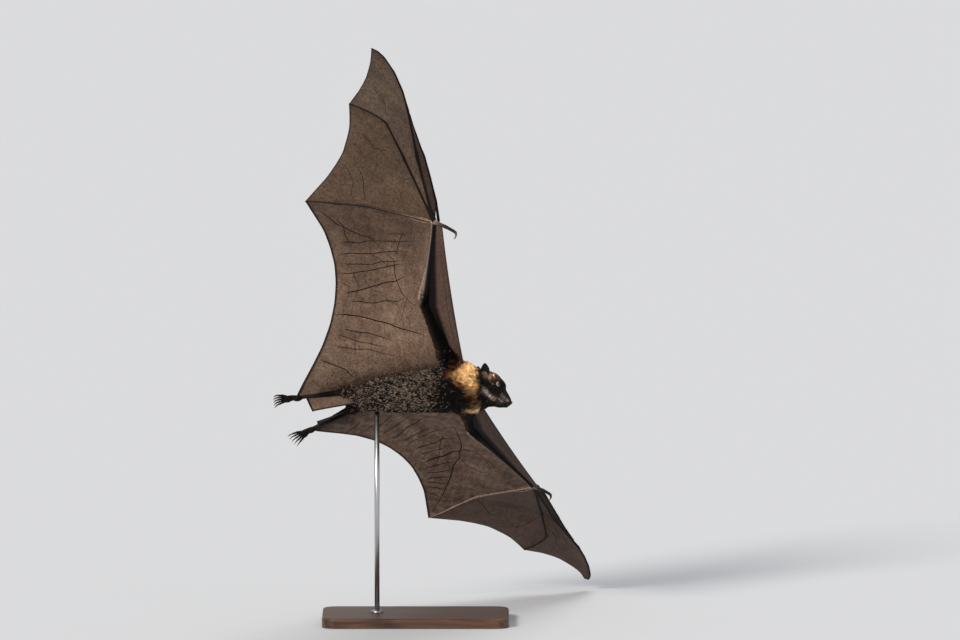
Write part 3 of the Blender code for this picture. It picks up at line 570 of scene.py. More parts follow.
def normals_of(place, u, v):
    step = 0.004
    a = place(np.minimum(u + step, 1), v) - place(np.maximum(u - step, 0), v)
    b = place(u, np.minimum(v + step, 1)) - place(u, np.maximum(v - step, 0))
    way = unit(np.cross(a, b))
    return way * np.sign(way @ DORSAL + 1e-9)[..., None]


def rim(u, v, side, end):
    """Thins a panel to nothing over these shares of its width and of its length, at its edges."""
    return np.minimum(1, np.minimum(np.minimum(u, 1 - u) / side, np.minimum(v, 1 - v) / end))


def pillow(surfaces, place, columns, rows, thickness, stain):
    """Closed thin skin over a panel: its two faces meet at the panel's edges."""
    u = np.linspace(0, 1, columns + 1)
    # The last cells are narrow, for a firm rim.
    v = np.concatenate([[0.0], np.linspace(0.006, 0.992, rows - 1), [1.0]])
    grid_u, grid_v = np.meshgrid(u, v)
    middle = place(grid_u, grid_v)
    half = normals_of(place, grid_u, grid_v) * (thickness(grid_u, grid_v) / 2)[..., None]
    shade = stain(grid_u, grid_v)
    under = (middle - half)[-2::-1]
    surfaces.add(np.concatenate([middle + half, under]), np.concatenate([shade, shade[-2::-1]]))


def strand(surfaces, place, marks, radius, stain, chance, wander=0.004):
    """Vessel or muscle thread inside the skin, raised a little on both faces."""
    route = Route([(u, v, 0) for u, v in marks], 0.12)
    probe = np.clip(route.at(np.linspace(0, 1, 24)), 0, 1)
    length = np.linalg.norm(np.diff(place(probe[:, 0], probe[:, 1]), axis=0), axis=1).sum()
    count = max(6, int(length / (2.6 * MM)))
    share = np.linspace(0, 1, count)
    spot = route.at(share)
    bends = count // 6 + 2
    kinks = np.interp(share, np.linspace(0, 1, bends), chance.normal(0, wander, bends))
    kinks = np.convolve(np.pad(kinks, 3, "edge"), np.hanning(9)[1:-1] / 4, "valid")
    way = unit(np.gradient(spot, axis=0))
    u = np.clip(spot[:, 0] - way[:, 1] * kinks, 0, 1)
    v = np.clip(spot[:, 1] + way[:, 0] * kinks, 0, 1)
    path = place(u, v)
    up = normals_of(place, u, v)
    wide = np.cross(unit(np.gradient(path, axis=0)), up)
    taper = np.minimum(1, np.minimum(share / 0.12 + 0.15, (1 - share) / 0.3 + 0.15))
    if radius * 2 < 0.9 * MM:
        taper = taper**0.5
    turn = np.linspace(0, 2 * pi, 7)
    broad = (radius * taper)[:, None, None] * wide[:, None] * np.cos(turn)[:, None]
    tall = (MEMBRANE / 2 + radius * 0.45 * taper)[:, None, None] * up[:, None] * np.sin(turn)[:, None]
    ends = [np.repeat(end[:, None], 7, 1) for end in (path[:1], path[-1:])]
    surfaces.add(np.concatenate([ends[0], path[:, None] + broad + tall, ends[1]]), stain)


def cross_threads(surfaces, place, count, spans, bend, radius, tones, base, chance, wander):
    """Fine threads in all directions; spans: lowest and highest u, v and half length, tones: of paleness."""
    for _ in range(count):
        u, v = chance.uniform(*spans[0]), chance.uniform(*spans[1])
        turn = chance.uniform(0, pi)
        reach = chance.uniform(*spans[2])
        off_u, off_v = reach * cos(turn), reach * sin(turn)
        marks = [(u - off_u, v - off_v), (u + off_u, v + off_v)]
        if bend:
            marks.insert(1, (u + chance.normal(0, bend), v + chance.normal(0, bend)))
        tone = blend(THREAD, base, chance.uniform(*tones))
        strand(surfaces, place, marks, radius, tone, chance, wander)


def hem_width(place, width, rows=40):
    """Share of v that a hem of this width takes at the free edge, halfway along."""
    v = np.linspace(0, 1, rows)
    length = np.linalg.norm(np.diff(place(np.full(rows, 0.5), v), axis=0), axis=1).sum()
    return width / length


def arm_skin(label):
    """Wing skin behind the arm, with its threads and vessels."""
    bones = SKELETON[label]
    right = label == "right"
    surfaces = Surfaces()
    place = arm_panel(bones)
    hem = hem_width(place, 1.6 * MM)

    def thickness(u, v):
        near_arm = np.exp(-v / 0.03) * 2.6 * MM
        near_finger = np.exp(-(1 - u) / 0.012) * 1.6 * MM
        bead = ramp(1 - 2 * hem, 1 - hem, v) * 0.5 * MM
        return (MEMBRANE + near_arm + near_finger + bead) * rim(u, v, 0.004, 0.004)

    def stain(u, v):
        points = place(u, v)
        base = blend(SKIN_ARM, SKIN_FAR, 0.25 * ramp(0.75, 1.0, u))
        if not right:
            base = blend(base, SKIN_FAR, 0.4)
        spot = bell((u - 0.12) / 0.1, (v - 0.85) / 0.2)
        pale = patches(points, 90 * MM, 5) * 0.5 + 0.5 * spot
        base = blend(base, SKIN_ARM_PALE, 0.55 * pale)
        # Painted shade: darker next to the flank and along the upper arm, where the wing meets the body, and
        # more so by the left wing's flank.
        painted_shade = (0.8 * bell(u / 0.05) + 0.35 * np.exp(-u / 0.09)) * ramp(0.95, 0.5, v)
        painted_shade = painted_shade + 0.75 * np.exp(-v / 0.045) * ramp(0.5, 0.3, u)
        if not right:
            painted_shade = painted_shade + 1.1 * bell(u / 0.03) * ramp(0.6, 0.85, v) + 0.35 * np.exp(-u / 0.15)
        base = blend(base, SKIN_DARK, np.clip(painted_shade, 0, 0.92))
        wear = 0.6 * patches(points, 26 * MM, 14) + 0.4 * patches(points, 9 * MM, 15)
        # Painted light and shade across the panel: brighter in its middle, darker by the flank and the fifth
        # finger; on the left wing also broken into random patches, dimmer near the flank and brighter in one
        # place.
        painted_light = np.interp(u, (0, 0.1, 0.2, 0.5, 0.65, 0.8, 1.0), (0.85, 1.15, 1.42, 1.42, 1.32, 0.95, 0.85))
        if not right:
            painted_light = 1.17 * painted_light * (0.7 + 0.6 * patches(points, 15 * MM, 24)) - 0.35 * bell(u / 0.3)
            painted_light = painted_light + 0.6 * bell((u - 0.82) / 0.1, (v - 0.42) / 0.22)
        base = base * (painted_light * (0.7 + 0.6 * wear))[..., None]
        # A pale line along the panel's edge behind the forearm, over the tendon, is a painted highlight.
        ridge = bell((v - 0.036) / 0.014) * ramp(0.41, 0.46, u) * ramp(0.98, 0.9, u)
        base = blend(base, THREAD_PALE, 0.6 * ridge)
        return blend(base, SKIN_HEM, 0.95 * ramp(1 - 2.6 * hem, 1 - 1.2 * hem, v))

    pillow(surfaces, place, 168, 112, thickness, stain)
    chance = np.random.default_rng(21 if right else 22)
    for radius, *marks in ARM_THREADS[label]:
        strand(surfaces, place, marks, (1.55 if right else 1.9) * radius * MM, THREAD, chance)
        # Beside each thread runs a thin pale strand: a painted highlight on the thread's raised edge.
        beside = [(u + 0.007, v) for u, v in marks]
        strand(surfaces, place, beside, 0.4 * MM, blend(SKIN_ARM, THREAD_PALE, 0.8), chance)
    for radius, *marks in ARM_VESSELS[label]:
        strand(surfaces, place, marks, 1.4 * radius * MM, THREAD, chance, 0.006)
    spans = ((0.06, 0.95), (0.12, 0.9), (0.04, 0.1))
    cross_threads(surfaces, place, 120, spans, 0.012, 0.3 * MM, (0.3, 0.75), SKIN_ARM, chance, 0.006)
    return surfaces, chance


def add_leading_skin(surfaces, bones, chance):
    """Wing skin ahead of the arm, and the loose fold at the elbow."""
    # A fold of loose skin covers the point of the elbow and runs up the back of the forearm; it is pale,
    # partly its own colour and partly a painted highlight.
    share, thick = along_bone((0, 0.15, 0.4, 1), (1.6, 4.2, 3.0, 0.9), 30)
    back = unit(np.cross(bones["wrist"] - bones["elbow"], DORSAL))
    back = back * (-1 if back[0] > 0 else 1)
    path = between(bones["elbow"], bones["elbow"] + (bones["wrist"] - bones["elbow"]) * 0.42, share)
    path = path + back * (np.interp(share, (0, 0.15, 1), (4.5, 6.0, 3.5)) * MM)[:, None]
    surfaces.add(tube(path, thick, 14, DORSAL, 1.5), blend(SKIN_ARM_PALE, JOINT_HIGHLIGHT, 0.5))

    place = leading_panel(bones)

    def thickness(u, v):
        bead = np.exp(-u / 0.03) * 0.9 * MM
        near_arm = np.exp(-(1 - u) / 0.05) * 2.0 * MM
        return (MEMBRANE + bead + near_arm) * rim(u, v, 0.02, 0.006)

    def stain(u, v):
        base = blend(SKIN_FAR, SKIN_ARM, 0.4 * patches(place(u, v), 60 * MM, 6))
        base = blend(base, SKIN_DARK, 0.5 * ramp(0.25, 0.0, v))
        base = blend(base, SKIN_SHADOW, 0.97 * ramp(0.56, 0.68, u + 0.05 * np.sin(5 * v)))
        return blend(base, SKIN_HEM, 0.9 * np.exp(-u / 0.05))

    pillow(surfaces, place, 26, 150, thickness, stain)
    for u in (0.3, 0.52, 0.72):
        marks = tuple((u + 0.08 * sin(5 * v + 9 * u), v) for v in (0.1, 0.3, 0.5, 0.7, 0.93))
        strand(surfaces, place, marks, 0.5 * MM, SKIN_DARK, chance, 0.01)


# Living skin of a wing: hairless and dry. A fine net of elastic fibres shows as a grain about 2 mm
# wide, drawn coarser than it is, with puckers about 4 mm apart, so the gloss is broad and broken.
wing_leather, tree, shader = start_material("bare_wing_skin")
coords = add_node(tree, "TexCoord")
stain_node = add_node(tree, "Attribute", {"attribute_name": "stain"})
mottle = add_node(tree, "TexNoise", inputs={"Scale": cells(3.8), "Detail": 6.0, "Roughness": 0.8},
                  links={"Vector": (coords, "Object")})
mottle_tone = add_node(tree, "ValToRGB", links={"Fac": (mottle, "Fac")},
                       stops=((0.3, "#8d847c"), (0.5, "#d6d0ca"), (0.68, "#ffffff")))
tinted = add_node(tree, "Mix", {"data_type": "RGBA", "blend_type": "MULTIPLY"}, {"Factor": 1.0},
                  {"A": (stain_node, "Color"), "B": (mottle_tone, "Color")})
net = add_node(tree, "TexVoronoi", {"feature": "DISTANCE_TO_EDGE"}, {"Scale": cells(2.4)},
               {"Vector": (coords, "Object")})
pucker_way = add_node(tree, "Mapping", inputs={"Scale": (1.0, 1.0, 0.45)},
                      links={"Vector": (coords, "Object")})
pucker = add_node(tree, "TexNoise", inputs={"Scale": cells(4.3), "Detail": 6.0, "Roughness": 0.6},
                  links={"Vector": (pucker_way, "Vector")})
net_bump = add_node(tree, "Bump", inputs={"Strength": 0.25, "Distance": 0.0004},
                    links={"Height": (net, "Distance")})
pucker_bump = add_node(tree, "Bump", inputs={"Strength": 0.45, "Distance": 0.0009},
                       links={"Height": (pucker, "Fac"), "Normal": (net_bump, "Normal")})
gloss = add_node(tree, "MapRange", inputs={"To Min": 0.46, "To Max": 0.66},
                 links={"Value": (mottle, "Fac")})
wire(tree, shader, {"IOR": 1.42, "Specular IOR Level": 0.1},
     {"Base Color": (tinted, "Result"), "Normal": (pucker_bump, "Normal"), "Roughness": (gloss, "Result")})

for label, skeleton in SKELETON.items():
    arm_wing, chance = arm_skin(label)
    add_leading_skin(arm_wing, skeleton, chance)
    replaced = ["arm_skin_" + label, "leading_skin_" + label]
    arm_wing.finish("wing_arm_" + label, wing_leather, "wing_skin", replaced)

# ------------------------------------------------------------------ wings, hand part
# From the fifth finger to the tip the skin hangs between the long fingers, and a narrow strip joins
# the second to the third. Wrist, thumb and finger bones lie under tight skin, with painted highlights at the
# joints and along the fingers' undersides.

HAND_EDGE = {(5, 4): (24.5 * MM, 7.5 * MM), (4, 3): (14.2 * MM, 8.2 * MM)}
HAND_EDGE_SHAPE = ((0, 0), (0.12, 0.28), (0.28, 0.66), (0.42, 0.86), (0.55, 0.96), (0.7, 0.81), (0.8, 0.66),
                   (0.9, 0.35), (1, 0))
SKIN_HAND = linear("#5f4e42")
SKIN_TIP = linear("#5f5249")
BONE_DARK = linear("#120e0e")
BONE_PALE = linear("#9c8570")
THUMB_SLATE = linear("#242628")
HAND_VESSELS = {
    "right": {
        (5, 4): (
            (0.6, (0.47, 0.88), (0.4, 0.78), (0.28, 0.67), (0.04, 0.55)),
            (0.5, (0.4, 0.89), (0.28, 0.78), (0.04, 0.66)),
            (0.55, (0.77, 0.91), (0.72, 0.82), (0.66, 0.75), (0.78, 0.62)),
            (0.4, (0.37, 0.93), (0.27, 0.82)), (0.4, (0.65, 0.95), (0.64, 0.88)),
            (0.4, (0.97, 0.3), (0.7, 0.36), (0.4, 0.32), (0.04, 0.27)),
        ),
        (4, 3): (
            (0.45, (0.8, 0.98), (0.77, 0.94), (0.69, 0.9), (0.6, 0.8)),
            (0.5, (0.39, 0.91), (0.29, 0.81), (0.16, 0.76)),
            (0.35, (0.03, 0.28), (0.5, 0.3), (0.96, 0.26)),
        ),
    },
    "left": {
        (5, 4): (
            (0.65, (0.02, 0.55), (0.22, 0.66), (0.33, 0.75), (0.4, 0.85)),
            (0.55, (0.97, 0.51), (0.78, 0.63), (0.68, 0.82), (0.79, 0.95)),
            (0.45, (0.68, 0.82), (0.55, 0.79), (0.48, 0.72)), (0.4, (0.07, 0.85), (0.2, 0.95)),
            (0.4, (0.18, 0.84), (0.28, 0.92)),
        ),
        (4, 3): (
            (0.4, (0.03, 0.42), (0.4, 0.48), (0.7, 0.56), (0.8, 0.72)),
            (0.4, (0.04, 0.6), (0.22, 0.68), (0.3, 0.84)),
        ),
    },
}

def hand_panel(bones, rear, fore):
    """Between two fingers: u from the rear finger to the fore one, v from the wrist to the free edge."""
    inward, upward = HAND_EDGE[(rear, fore)]
    ends = bones[rear][2], bones[fore][2]
    toward = bones["wrist"] - (ends[0] + ends[1]) / 2
    depth = toward / np.linalg.norm(toward) * inward + DORSAL * upward
    free = Route(bowed(*ends, depth, HAND_EDGE_SHAPE), 0.06)
    route = bones["routes"]
    # The left wing's tip is spread round behind the end of the third finger.
    round_tip = -unit(depth) * (4.5 * MM if fore == 3 and bones["side"] > 0 else 0)

    def place(u, v):
        u, v = np.asarray(u, float), np.asarray(v, float)
        out = 0.02 + 0.98 * v
        flat = route[rear].at(out)
        flat = flat + (route[fore].at(out) - flat) * u[..., None]
        draw = free.at(u) - between(*ends, u) + round_tip * bell((u - 0.93) / 0.05)[..., None]
        swell = BILLOW * 0.5 * np.sin(pi * u) * np.sin(pi * np.minimum(out, 0.95))
        folds = 0.22 * MM * np.sin(pi * u) ** 1.5 * np.sin(2 * pi * (u * 7 + 0.3 * np.sin(7 * v)))
        folds = folds * np.sin(pi * np.minimum(out, 0.97))
        return flat + draw * (out**2.2)[..., None] + DORSAL * (swell + folds)[..., None]

    return place


def edge_panel(bones):
    """Narrow strip between the third finger (u = 0) and the second (u = 1)."""
    route = bones["routes"]
    marks = route[3].marks
    reach = marks[1] + route["second_end"] * (marks[2] - marks[1])

    def place(u, v):
        out = 0.05 + 0.95 * np.asarray(v, float)
        inner = route[3].at(out * reach)
        return inner + (route[2].at(out) - inner) * np.asarray(u, float)[..., None]

    return place


def add_hand_panels(surfaces, label, chance):
    """Skin between the third, fourth and fifth fingers, with its vessels and threads."""
    bones = SKELETON[label]
    for rear, fore, columns, rows, tint in ((5, 4, 74, 118, SKIN_HAND), (4, 3, 66, 164, SKIN_TIP)):
        place = hand_panel(bones, rear, fore)
        hem = hem_width(place, 1.2 * MM)

        def thickness(u, v):
            near = (np.exp(-u / 0.03) + np.exp(-(1 - u) / 0.03)) * 1.2 * MM * (1 - 0.7 * v)
            bead = ramp(1 - 2 * hem, 1 - hem, v) * 0.4 * MM
            return (MEMBRANE + near + bead) * rim(u, v, 0.004, 0.004)

        def stain(u, v):
            points = place(u, v)
            base = blend(tint, SKIN_ARM_PALE, 0.25 * patches(points, 70 * MM, 9 + rear))
            if label == "left":
                base = blend(base, SKIN_FAR, 0.75)
            wear = 0.6 * patches(points, 24 * MM, 16) + 0.4 * patches(points, 8 * MM, 17)
            base = base * (0.8 + 0.4 * wear)[..., None]
            # Darker next to each finger: painted shade.
            base = blend(base, SKIN_DARK, 0.5 * np.exp(-(1 - u) / 0.06) + 0.3 * np.exp(-u / 0.03))
            return blend(base, SKIN_HEM, 0.85 * ramp(1 - 2.2 * hem, 1 - 0.8 * hem, v))

        pillow(surfaces, place, columns, rows, thickness, stain)
        for radius, *marks in HAND_VESSELS[label][(rear, fore)]:
            strand(surfaces, place, marks, 1.2 * radius * MM, blend(THREAD, tint, 0.1), chance, 0.008)
        spans = ((0.08, 0.92), (0.2, 0.92), (0.03, 0.08))
        cross_threads(surfaces, place, 44, spans, 0, 0.28 * MM, (0.35, 0.75), tint, chance, 0.01)
    # Short creases lie across the skin behind the third finger's first joint.
    for middle in 0.35 + 0.021 * np.arange(9):
        marks = ((0.5, middle - 0.02), (0.75, middle), (0.96, middle + 0.015))
        strand(surfaces, place, marks, 0.4 * MM, blend(THREAD, tint, 0.35), chance, 0.004)
    pillow(surfaces, edge_panel(bones), 10, 90, lambda u, v: (MEMBRANE + 0.6 * MM) * rim(u, v, 0.05, 0.01),
           lambda u, v: blend(SKIN_TIP, SKIN_DARK, 0.55 + 0 * u))


def add_fingers(surfaces, bones, right):
    """Long bones with knuckles, slimmer to the tip, lightened by painted highlights: the fifth on the right
    wing underneath and near the wrist, on the left all along; the others faintly underneath.
    """
    for digit, scale in ((3, 1.2), (4, 1.0), (5, 0.95)):
        route = bones["routes"][digit]
        first, second = route.marks[1], route.marks[2]
        marks = (0, 0.03, 0.1, first * 0.5, first - 0.03, first, first + 0.03, (first + second) / 2,
                 second - 0.02, second, second + 0.02, (1 + second) / 2, 1)
        radii = np.array((2.9, 3.0, 2.2, 1.8, 2.1, 2.75, 1.9, 1.5, 1.5, 2.1, 1.45, 1.15, 0.75)) * scale
        share, thick = along_bone(marks, radii, 96)
        rows = tube(route.at(share), thick, 12)
        # The side of each bone that faces down is lightened as a painted highlight, and near the wrist it
        # takes the highlight tint.
        under = bell((unit(rows - rows.mean(1, keepdims=True)) @ DORSAL + 0.5) / 0.35)
        away = np.broadcast_to(np.concatenate([[0] * 3, share, [1] * 3])[:, None], under.shape)
        paleness = np.maximum(bell(away / 0.2), 0 if right else 0.75)
        skin = blend(THREAD_PALE, JOINT_HIGHLIGHT, paleness)
        if digit < 5:
            skin = blend(BONE_DARK, skin, 0.25)
            painted_light = 0.25 * under
        elif right:
            painted_light = under * (0.25 + 0.65 * bell(away / 0.35))
        else:
            painted_light = np.full(under.shape, 0.85)
        surfaces.add(rows, blend(BONE_DARK, skin, painted_light))
    # Tendons leave the wrist beside the fifth finger's long bone and sink into the skin.
    share = np.linspace(0, 1, 26)
    wrist, knuckle = bones["wrist"], bones[5][0]
    beside = unit(np.cross(knuckle - wrist, DORSAL))
    for spread, reach in ((5.0, 0.36), (-4.0, 0.3)):
        line = between(wrist, wrist + (knuckle - wrist) * reach, share) - DORSAL * (1.2 * MM)
        line = line + beside * (spread * MM * np.sin(pi * np.clip(share * 0.8 + 0.1, 0, 1)))[:, None]
        surfaces.add(tube(line, 0.75 * MM * np.sqrt(np.sin(pi * (0.06 + 0.9 * share))), 8), BONE_PALE)
    marks = (0, 0.05, 0.3, 0.55, 0.6, 0.65, 0.85, 1)
    share, thick = along_bone(marks, (2.4, 2.3, 1.6, 1.5, 1.8, 1.4, 1.0, 0.7), 72)
    surfaces.add(tube(Route(bones["routes"]["second"], 0.04).at(share), thick, 10), BONE_DARK)


def add_wrist(surfaces, bones, thumb_length):
    """Small bones under tight skin, with pale knobs as painted highlights, a short palm, and the free thumb,
    lightened near the wrist as a painted highlight.
    """
    wrist, thumb_way = bones["wrist"], bones["thumb_way"]
    palm_way = unit(bones[3][0] - wrist) + unit(bones["routes"]["second"][2] - wrist)
    palm = wrist + unit(palm_way) * np.array((1.0, 7.0, 14.0, 21.0))[:, None] * MM
    across = np.cross(palm_way, DORSAL)
    surfaces.add(tube(palm, np.array((4.2, 4.6, 3.6, 1.6)) * MM, 16, across, 0.35), BONE_DARK)
    # Pale knobs over the small bones: painted highlights.
    for offset, radius in (((2, 0, 0.6), 4.3), ((5.5, 0, 0.5), 3.4), ((-2.6, 0, 0.4), 3.8)):
        path = wrist + np.array(offset) * MM + np.outer((-1, 0, 1), DORSAL * MM)
        knob = tube(path, radius * MM * np.array((0.9, 1.0, 0.9)), 14, (1, 0, 0))
        surfaces.add(knob, blend(BONE_DARK, JOINT_HIGHLIGHT, 0.85))
    marks = (0, 0.15, 0.42, 0.5, 0.58, 0.85, 0.95, 1)
    share, thick = along_bone(marks, (3.9, 3.3, 2.7, 3.2, 2.8, 2.5, 2.6, 2.0), 40)
    path = between(wrist + thumb_way * 2 * MM, wrist + thumb_way * thumb_length, share)
    path = path + np.outer(np.sin(pi * share) * 1.2 * MM, (0.7, 0, 0.7))
    creases = 1 - 0.05 * (np.sin(share * 150) > 0.6)
    rows = tube(path, thick * creases, 12)
    # The thumb pales toward the wrist: a painted highlight.
    near_wrist = np.exp(-np.arange(len(rows)) / 7.0)[:, None]
    surfaces.add(rows, blend(THUMB_SLATE, JOINT_HIGHLIGHT, near_wrist))


for label, skeleton in SKELETON.items():
    hand_wing = Surfaces()
    add_hand_panels(hand_wing, label, np.random.default_rng(31 if label == "right" else 32))
    add_fingers(hand_wing, skeleton, label == "right")
    add_wrist(hand_wing, skeleton, POSE[label]["thumb_length"])
    replaced = [f"finger{digit}_{label}" for digit in (2, 3, 4, 5)]
    replaced += [f"hand_skin_{part}_{label}" for part in ("edge", "fore", "rear")] + ["thumb_" + label]
    hand_wing.finish("wing_hand_" + label, wing_leather, "wing_skin", replaced)

# ------------------------------------------------------------------ body skin
# One skin over trunk, neck, head, arms and shins, lying under the coat by the coat's depth. Closed
# shapes are joined by a voxel remesh, eased, and the head is then modelled finer: lids, cheek, lips.

# In millimetres. Trunk: x, half width, half height and height of the middle.
TRUNK = (
    (-191, 5, 4, -9), (-188.5, 12, 9.5, -9), (-182, 18, 15, -9), (-165, 23.5, 21.5, -8.5),
    (-128, 29.5, 28.5, -8), (-85, 33.5, 33, -8), (-45, 36.5, 36, -8), (-12, 40, 38.5, -8), (6, 41, 39.5, -8),
)
# Skull: top (behind the nose tip, height), bottom (the same) and half width.
SKULL = (
    (-61, 20.5, -31, -34.5, 23.0), (-55, 23.0, -28.5, -30.0, 21.6), (-48, 24.2, -25.0, -27.6, 20.4),
    (-40, 23.0, -21.5, -25.0, 18.0), (-33, 20.5, -18.4, -23.0, 15.2), (-27.5, 17.0, -15.4, -21.4, 12.4),
    (-22.5, 12.4, -12.4, -19.6, 10.4), (-17, 8.6, -9.6, -17.3, 9.2), (-11, 6.0, -6.8, -14.4, 8.3),
    (-6, 4.0, -4.2, -12.6, 7.2), (-2.5, 1.5, -2.2, -9.5, 5.2),
)
# Neck under the mantle: share of the way to the head, half width and half height.
MANTLE = ((0.0, 41, 39.5), (0.2, 40.5, 39), (0.4, 38.5, 38.5), (0.6, 34.5, 36.5), (0.8, 29, 33.5),
          (0.92, 25.5, 32.6), (1.0, 23, 31.3))
TRUNK_COAT, MANTLE_COAT, HEAD_COAT, MUZZLE_COAT = 5.5, 7.0, 2.4, 0.7
EYE = np.array((-40.0, 15.3, 6.3))
EYE_RADIUS = 4.7


def eased_stations(stations, count, soften):
    return Route(stations, soften).at(np.linspace(0, 1, count))


def capped(rows, back, ahead):
    """Closes rows of points with a point at each end, moved outward by these lengths."""
    rows = np.array(rows)
    ends = [np.repeat(end.mean(1, keepdims=True), rows.shape[1], 1) for end in (rows[:1], rows[-1:])]
    return np.concatenate([ends[0] - (back, 0, 0), rows, ends[1] + (ahead, 0, 0)])


def skull_rings(around=72):
    """Rows of points round the head, in the animal's axes, sunk by the coat's depth."""
    rows = []
    turn = np.linspace(0, 2 * pi, around + 1)
    for x_top, z_top, x_low, z_low, width in eased_stations(SKULL, 60, 0.05):
        top, low = np.array((x_top, 0, z_top)), np.array((x_low, 0, z_low))
        sink = MUZZLE_COAT + (HEAD_COAT - MUZZLE_COAT) * ramp(-18, -42, x_top)
        high = np.linalg.norm(top - low) / 2 - sink
        up = unit(top - low)
        ring = np.outer(np.cos(turn), (0, width - sink, 0)) + np.outer(np.sin(turn), up * high)
        rows.append((top + low) / 2 + ring)
    return moved_by(HEAD, capped(rows, 3, 0.8) * MM)


def neck_spine(share):
    """Places and turns along the neck, from the shoulders to the back of the head."""
    top, low = np.array((SKULL[0][0], 0, SKULL[0][1])), np.array((SKULL[0][2], 0, SKULL[0][3]))
    up = unit(top - low)
    ahead = np.cross((0, 1, 0), up)
    last = Matrix(((ahead[0], 0, up[0], 0), (0, 1, 0, 0), (ahead[2], 0, up[2], 0), (0, 0, 0, 1)))
    last.translation = Vector((top + low) / 2) * MM
    last = HEAD @ last
    start = np.array((TRUNK[-1][0], 0, TRUNK[-1][3])) * MM
    end = np.array(last.translation)
    reach = np.linalg.norm(end - start)
    leave = np.array((reach, 0, 0))
    arrive = np.array(last.to_3x3() @ Vector((reach, 0, 0)))
    turn = Matrix.Identity(3).to_quaternion()
    frames = []
    for s in share:
        spot = start * (2 * s**3 - 3 * s**2 + 1) + leave * (s**3 - 2 * s**2 + s)
        spot = spot + end * (3 * s**2 - 2 * s**3) + arrive * (s**3 - s**2)
        frames.append((spot, np.array(turn.slerp(last.to_quaternion(), s).to_matrix())))
    return frames


def neck_rings(around=72):
    """The same round the neck, thickest where the mantle is."""
    share = np.linspace(0, 1, 40)
    sizes = eased_stations(MANTLE, 401, 0.06)
    turn = np.linspace(0, 2 * pi, around + 1)
    rows = []
    for s, (spot, matrix) in zip(share, neck_spine(share)):
        sink = TRUNK_COAT + (MANTLE_COAT - TRUNK_COAT) * ramp(0, 0.3, s)
        sink = sink + (HEAD_COAT - sink) * ramp(0.75, 1.0, s)
        width = np.interp(s, sizes[:, 0], sizes[:, 1]) - sink
        high = np.interp(s, sizes[:, 0], sizes[:, 2]) - sink
        ring = np.stack([0 * turn, width * np.cos(turn), high * np.sin(turn)], 1) * MM
        rows.append(spot + ring @ matrix.T)
    return capped(rows, 6 * MM, 0)


def trunk_rings(around=84):
    """The same round the trunk."""
    rows = []
    turn = np.linspace(0, 2 * pi, around + 1)
    for x, width, high, middle in eased_stations(TRUNK, 80, 0.05):
        sink = TRUNK_COAT * ramp(-193, -176, x)
        # The chest is keeled a little under the flight muscles, and the back is flatter.
        keel = 1 + 0.05 * np.cos(turn + pi / 2) ** 3 * ramp(-110, -30, x)
        up = middle + (high - sink) * np.sin(turn) * keel
        rows.append(np.stack([0 * turn + x, (width - sink) * np.cos(turn), up], 1) * MM)
    return capped(rows, 0, 4 * MM)


def flesh_tubes(surfaces, bones):
    """Muscle and skin round the bones of one arm and one shin."""
    shoulder, elbow, wrist = bones["shoulder"], bones["elbow"], bones["wrist"]
    share, thick = along_bone((0, 0.2, 0.45, 0.75, 0.97), (13, 12, 9.2, 7.2, 6.8), 40)
    surfaces.add(tube(between(shoulder, shoulder + (elbow - shoulder) * 0.99, share), thick, 24))
    marks = (0, 0.03, 0.1, 0.22, 0.4, 0.62, 0.86, 0.95, 1)
    share, thick = along_bone(marks, (6.0, 7.5, 7.1, 6.1, 4.5, 3.6, 3.3, 4.5, 4.3), 90)
    surfaces.add(tube(between(elbow, wrist, share), thick, 20))
    knee, ankle, way = bones["knee"], bones["ankle"], bones["shin_way"]
    marks = (0, 0.15, 0.24, 0.45, 0.75, 0.97, 1)
    share, thick = along_bone(marks, (6.5, 6.3, 5.1, 4.0, 3.1, 3.6, 3.3), 50)
    surfaces.add(tube(between(knee - way * 12 * MM, ankle, share), thick, 18))


flesh = Surfaces()
for rings in (trunk_rings(), neck_rings(), skull_rings()):
    flesh.add(rings)
for skeleton in SKELETON.values():
    flesh_tubes(flesh, skeleton)
form = bpy.data.objects.new("body_skin_form", flesh.mesh("body_skin_form"))
bpy.context.scene.collection.objects.link(form)
join = form.modifiers.new("one_skin", "REMESH")
join.mode = "VOXEL"
join.voxel_size = 1.38 * MM
skin_mesh = bpy.data.meshes.new_from_object(form.evaluated_get(bpy.context.evaluated_depsgraph_get()))
bpy.data.objects.remove(form)


def normals_at(mesh):
    found = np.empty(len(mesh.vertices) * 3, np.float32)
    mesh.vertex_normals.foreach_get("vector", found)
    return found.reshape(-1, 3).astype(float)


def head_places(row_points):
    """Points of the row's frame in the head's own axes, in millimetres."""
    return moved_by(UNHEAD, moved_by(UNROW, row_points)) / MM


def beyond_neck(head_points):
    """Distance ahead of the plane where the head joins the neck, in millimetres."""
    top, low = np.array(SKULL[0][:2]), np.array(SKULL[0][2:4])
    up = unit(top - low)
    return (head_points[:, [0, 2]] - low) @ np.array((up[1], -up[0]))


def from_eyes(head_points):
    """Distance from the middle of the nearer eye, in millimetres."""
    x, y, z = head_points.T
    return np.linalg.norm(np.stack([x, np.abs(y), z], 1) - EYE, axis=1)


def ease(shape, verts, times):
    """Smooths points of a shape in all three axes."""
    axes = dict.fromkeys(("use_axis_x", "use_axis_y", "use_axis_z"), True)
    for _ in range(times):
        bmesh.ops.smooth_vert(shape, verts=verts, factor=0.5, **axes)


shape = bmesh.new()
shape.from_mesh(skin_mesh)
ease(shape, shape.verts, 6)
